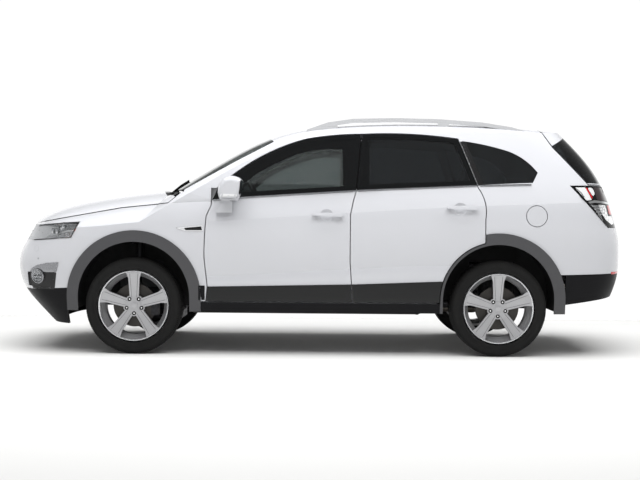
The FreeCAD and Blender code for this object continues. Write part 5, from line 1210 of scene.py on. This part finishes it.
piping("rear_cushion_piping", bench, "top",
       [[(0.6, s * 0.205), (1.0, s * 0.205)] for s in (-1, 1)] + [[(0.72, -0.55), (0.72, 0.55)]])
piping("rear_back_piping", bench_back, "front",
       [[(s * 0.205, 0.8), (s * 0.205, 1.19)] for s in (-1, 1)] + [[(-0.54, 1.0), (0.54, 1.0)]])
print("seats made")

# %% [markdown]
# ## Cabin
# Behind the glass there is a headlining, carpet, door cards with armrests, and a dashboard with an instrument
# panel, a screen and round vents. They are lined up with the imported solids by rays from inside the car.

# %% Lining, carpet and door cards
VIEWS["inside_left"] = (lambda u, v: Vector((u, -0.4, v)), Vector((0, -1, 0)))
VIEWS["below"] = (lambda u, v: Vector((u, v, 1.3)), Vector((0, 0, 1)))
carpet = (carpet_black, "cabin_plastic")
floor_skin = skin_of("cabin_floor")
for name, look, skin, view, outline, ease, lift, depth, spacing in (
        ("headlining", (lining_grey, "cabin_plastic"), skin_of("roof"), "below",
         [(-0.26, -0.5), (1.5, -0.52), (1.5, 0.52), (-0.26, 0.5)], 0.06, 0.014, 0.01, 0.1),
        ("carpet_left", carpet, floor_skin, "top",
         [(-0.82, -0.18), (0.5, -0.18), (0.5, -0.66), (-0.82, -0.66)], 0.04, 0.0085, 0.008, 0.1),
        ("carpet_right", carpet, floor_skin, "top",
         [(-0.82, 0.18), (0.5, 0.18), (0.5, 0.66), (-0.82, 0.66)], 0.04, 0.0085, 0.008, 0.1),
        ("load_carpet", (carpet_black, "liner_plastic"), skin_of("load_floor"), "top",
         [(1.28, -0.44), (2.06, -0.44), (2.06, 0.44), (1.28, 0.44)], 0.05, 0.0065, 0.006, 0.12)):
    plate(name, look, skin, view, outline, ease, lift, depth, spacing, "body")
PULL_Z, SPEAKER_Z = 0.965, 0.64
for name, bodies, node, card, (x0, x1, z), handle_x in (
        ("front", front_doors, ("front_door_left", "front_door_trim_left"),
         [(-0.6, 0.52), (0.19, 0.52), (0.2, 1.12), (-0.64, 1.08)], (-0.3, 0.13, 0.79), -0.42),
        ("rear", rear_doors, ("rear_door_left", "rear_door_trim_left"),
         [(0.33, 0.54), (0.76, 0.54), (1.05, 0.9), (1.08, 1.18), (0.33, 1.15)], (0.4, 0.8, 0.81), 0.45)):
    inner_skin = skin_of(*node)
    both_pieces(f"door_card_{name}", CABIN,
                plate_form(inner_skin, "inside_left", rounded(card, 0.05), 0.01, 0.01, 0.06), bodies, crease=50)
    y = cast(inner_skin, "inside_left", (x0 + x1) / 2, z)[0].y
    both_pieces(f"armrest_{name}", CLOTH, block_form((x0, y - 0.004, z - 0.03), (x1, y + 0.052, z + 0.022)),
                bodies, bevel=0.014)
    y = cast(inner_skin, "inside_left", handle_x, PULL_Z)[0].y
    pull = [(handle_x - 0.045, y + 0.012, PULL_Z), (handle_x, y + 0.022, PULL_Z + 0.003),
            (handle_x + 0.045, y + 0.012, PULL_Z)]
    both_strips(f"door_pull_{name}", SATIN, line_form(pull, (0, 1, 0)), 0.016, 0.008, 0.002, bodies)
    y = cast(inner_skin, "inside_left", handle_x, SPEAKER_Z)[0].y
    both_pieces(f"speaker_{name}", (shadow_black, "cabin_plastic"), turned_form(
        [(0.008, 0), (0.014, 0.02), (0.012, 0.06), (0.016, 0.066), (0.016, 0.072), (0.006, 0.075), (0.006, 0)],
        (handle_x, y, SPEAKER_Z), 40, (0, 1, 0)), bodies)

# %% Dashboard, console and lever
dash_skin = skin_of("dashboard")
for index, y in enumerate((-0.62, -0.14, 0.14, 0.62)):
    piece(f"dash_vent_{index}", "body", GLOSS, turned_form(
        [(0.001, 0), (0.003, 0.03), (0.01, 0.04), (0.01, 0.046), (-0.004, 0.05), (-0.004, 0)],
        cast(dash_skin, "rear", y, 1.02)[0], 32, (1, 0, 0)))
plate("dash_screen", GLOSS, dash_skin, "rear", oblong(0.105, 0.985, 1.1), 0.012, 0.004, 0.008, 0.04, "body")
plate("instrument_panel", GLOSS, dash_skin, "rear", [(-0.53, 1.0), (-0.25, 1.0), (-0.27, 1.1), (-0.51, 1.1)],
      0.03, 0.003, 0.006, 0.04, "body")
piece("centre_console", "body", CABIN, block_form((-0.52, -0.085, 0.505), (0.2, 0.085, 0.64)), bevel=0.025)
piece("gear_lever", "body", GLOSS, turned_form(
    [(-0.01, 0), (-0.01, 0.03), (0.03, 0.012), (0.085, 0.01), (0.095, 0.022), (0.125, 0.024), (0.14, 0.014),
     (0.142, 0)], (-0.36, 0.0, 0.64), 24, (-0.1, 0, 1)))

# %% Rear-view mirror
screen_spot = cast(skin_of("fixed_windows"), "top", -0.5, 0.0)[0]
mirror_z = screen_spot.z - 0.075
piece("cabin_mirror", "body", CABIN,
      block_form((-0.47, -0.12, mirror_z - 0.032), (-0.445, 0.12, mirror_z + 0.032)), bevel=0.01)
strip("cabin_mirror_stem", "body", CABIN,
      line_form([screen_spot + Vector((0, 0, -0.012)), (-0.465, 0, mirror_z + 0.01)], (0, 1, 0)), 0.018, 0.012, 0.004)
print("cabin dressed, mirror at", round(mirror_z, 3))

# %% [markdown]
# ## Under the bonnet
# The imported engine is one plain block, which stands for its mass. A ribbed cover and an oil cap make it read as
# an engine when the bonnet is up.

# %% Engine bay
block_low, block_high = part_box("engine_block")
top = block_high.z
piece("engine_cover", "body", CABIN,
      block_form((block_low.x + 0.03, -0.27, top - 0.01), (block_high.x - 0.03, 0.27, top + 0.035)), bevel=0.016)
cover_ribs = [line_form([(block_low.x + 0.07, y, top + 0.037), (block_high.x - 0.07, y, top + 0.037)])
              for y in (-0.18, -0.12, -0.06, 0.06, 0.12, 0.18)]
strip("engine_cover_ribs", "body", CLAD, joined_paths(*cover_ribs), 0.012, 0.008, 0.003)
piece("oil_cap", "body", GLOSS, turned_form(
    [(0, 0), (0, 0.034), (0.02, 0.034), (0.026, 0.026), (0.028, 0)], (block_low.x + 0.1, 0, top + 0.03), 12,
    (0, 0, 1)))
print("engine bay dressed")
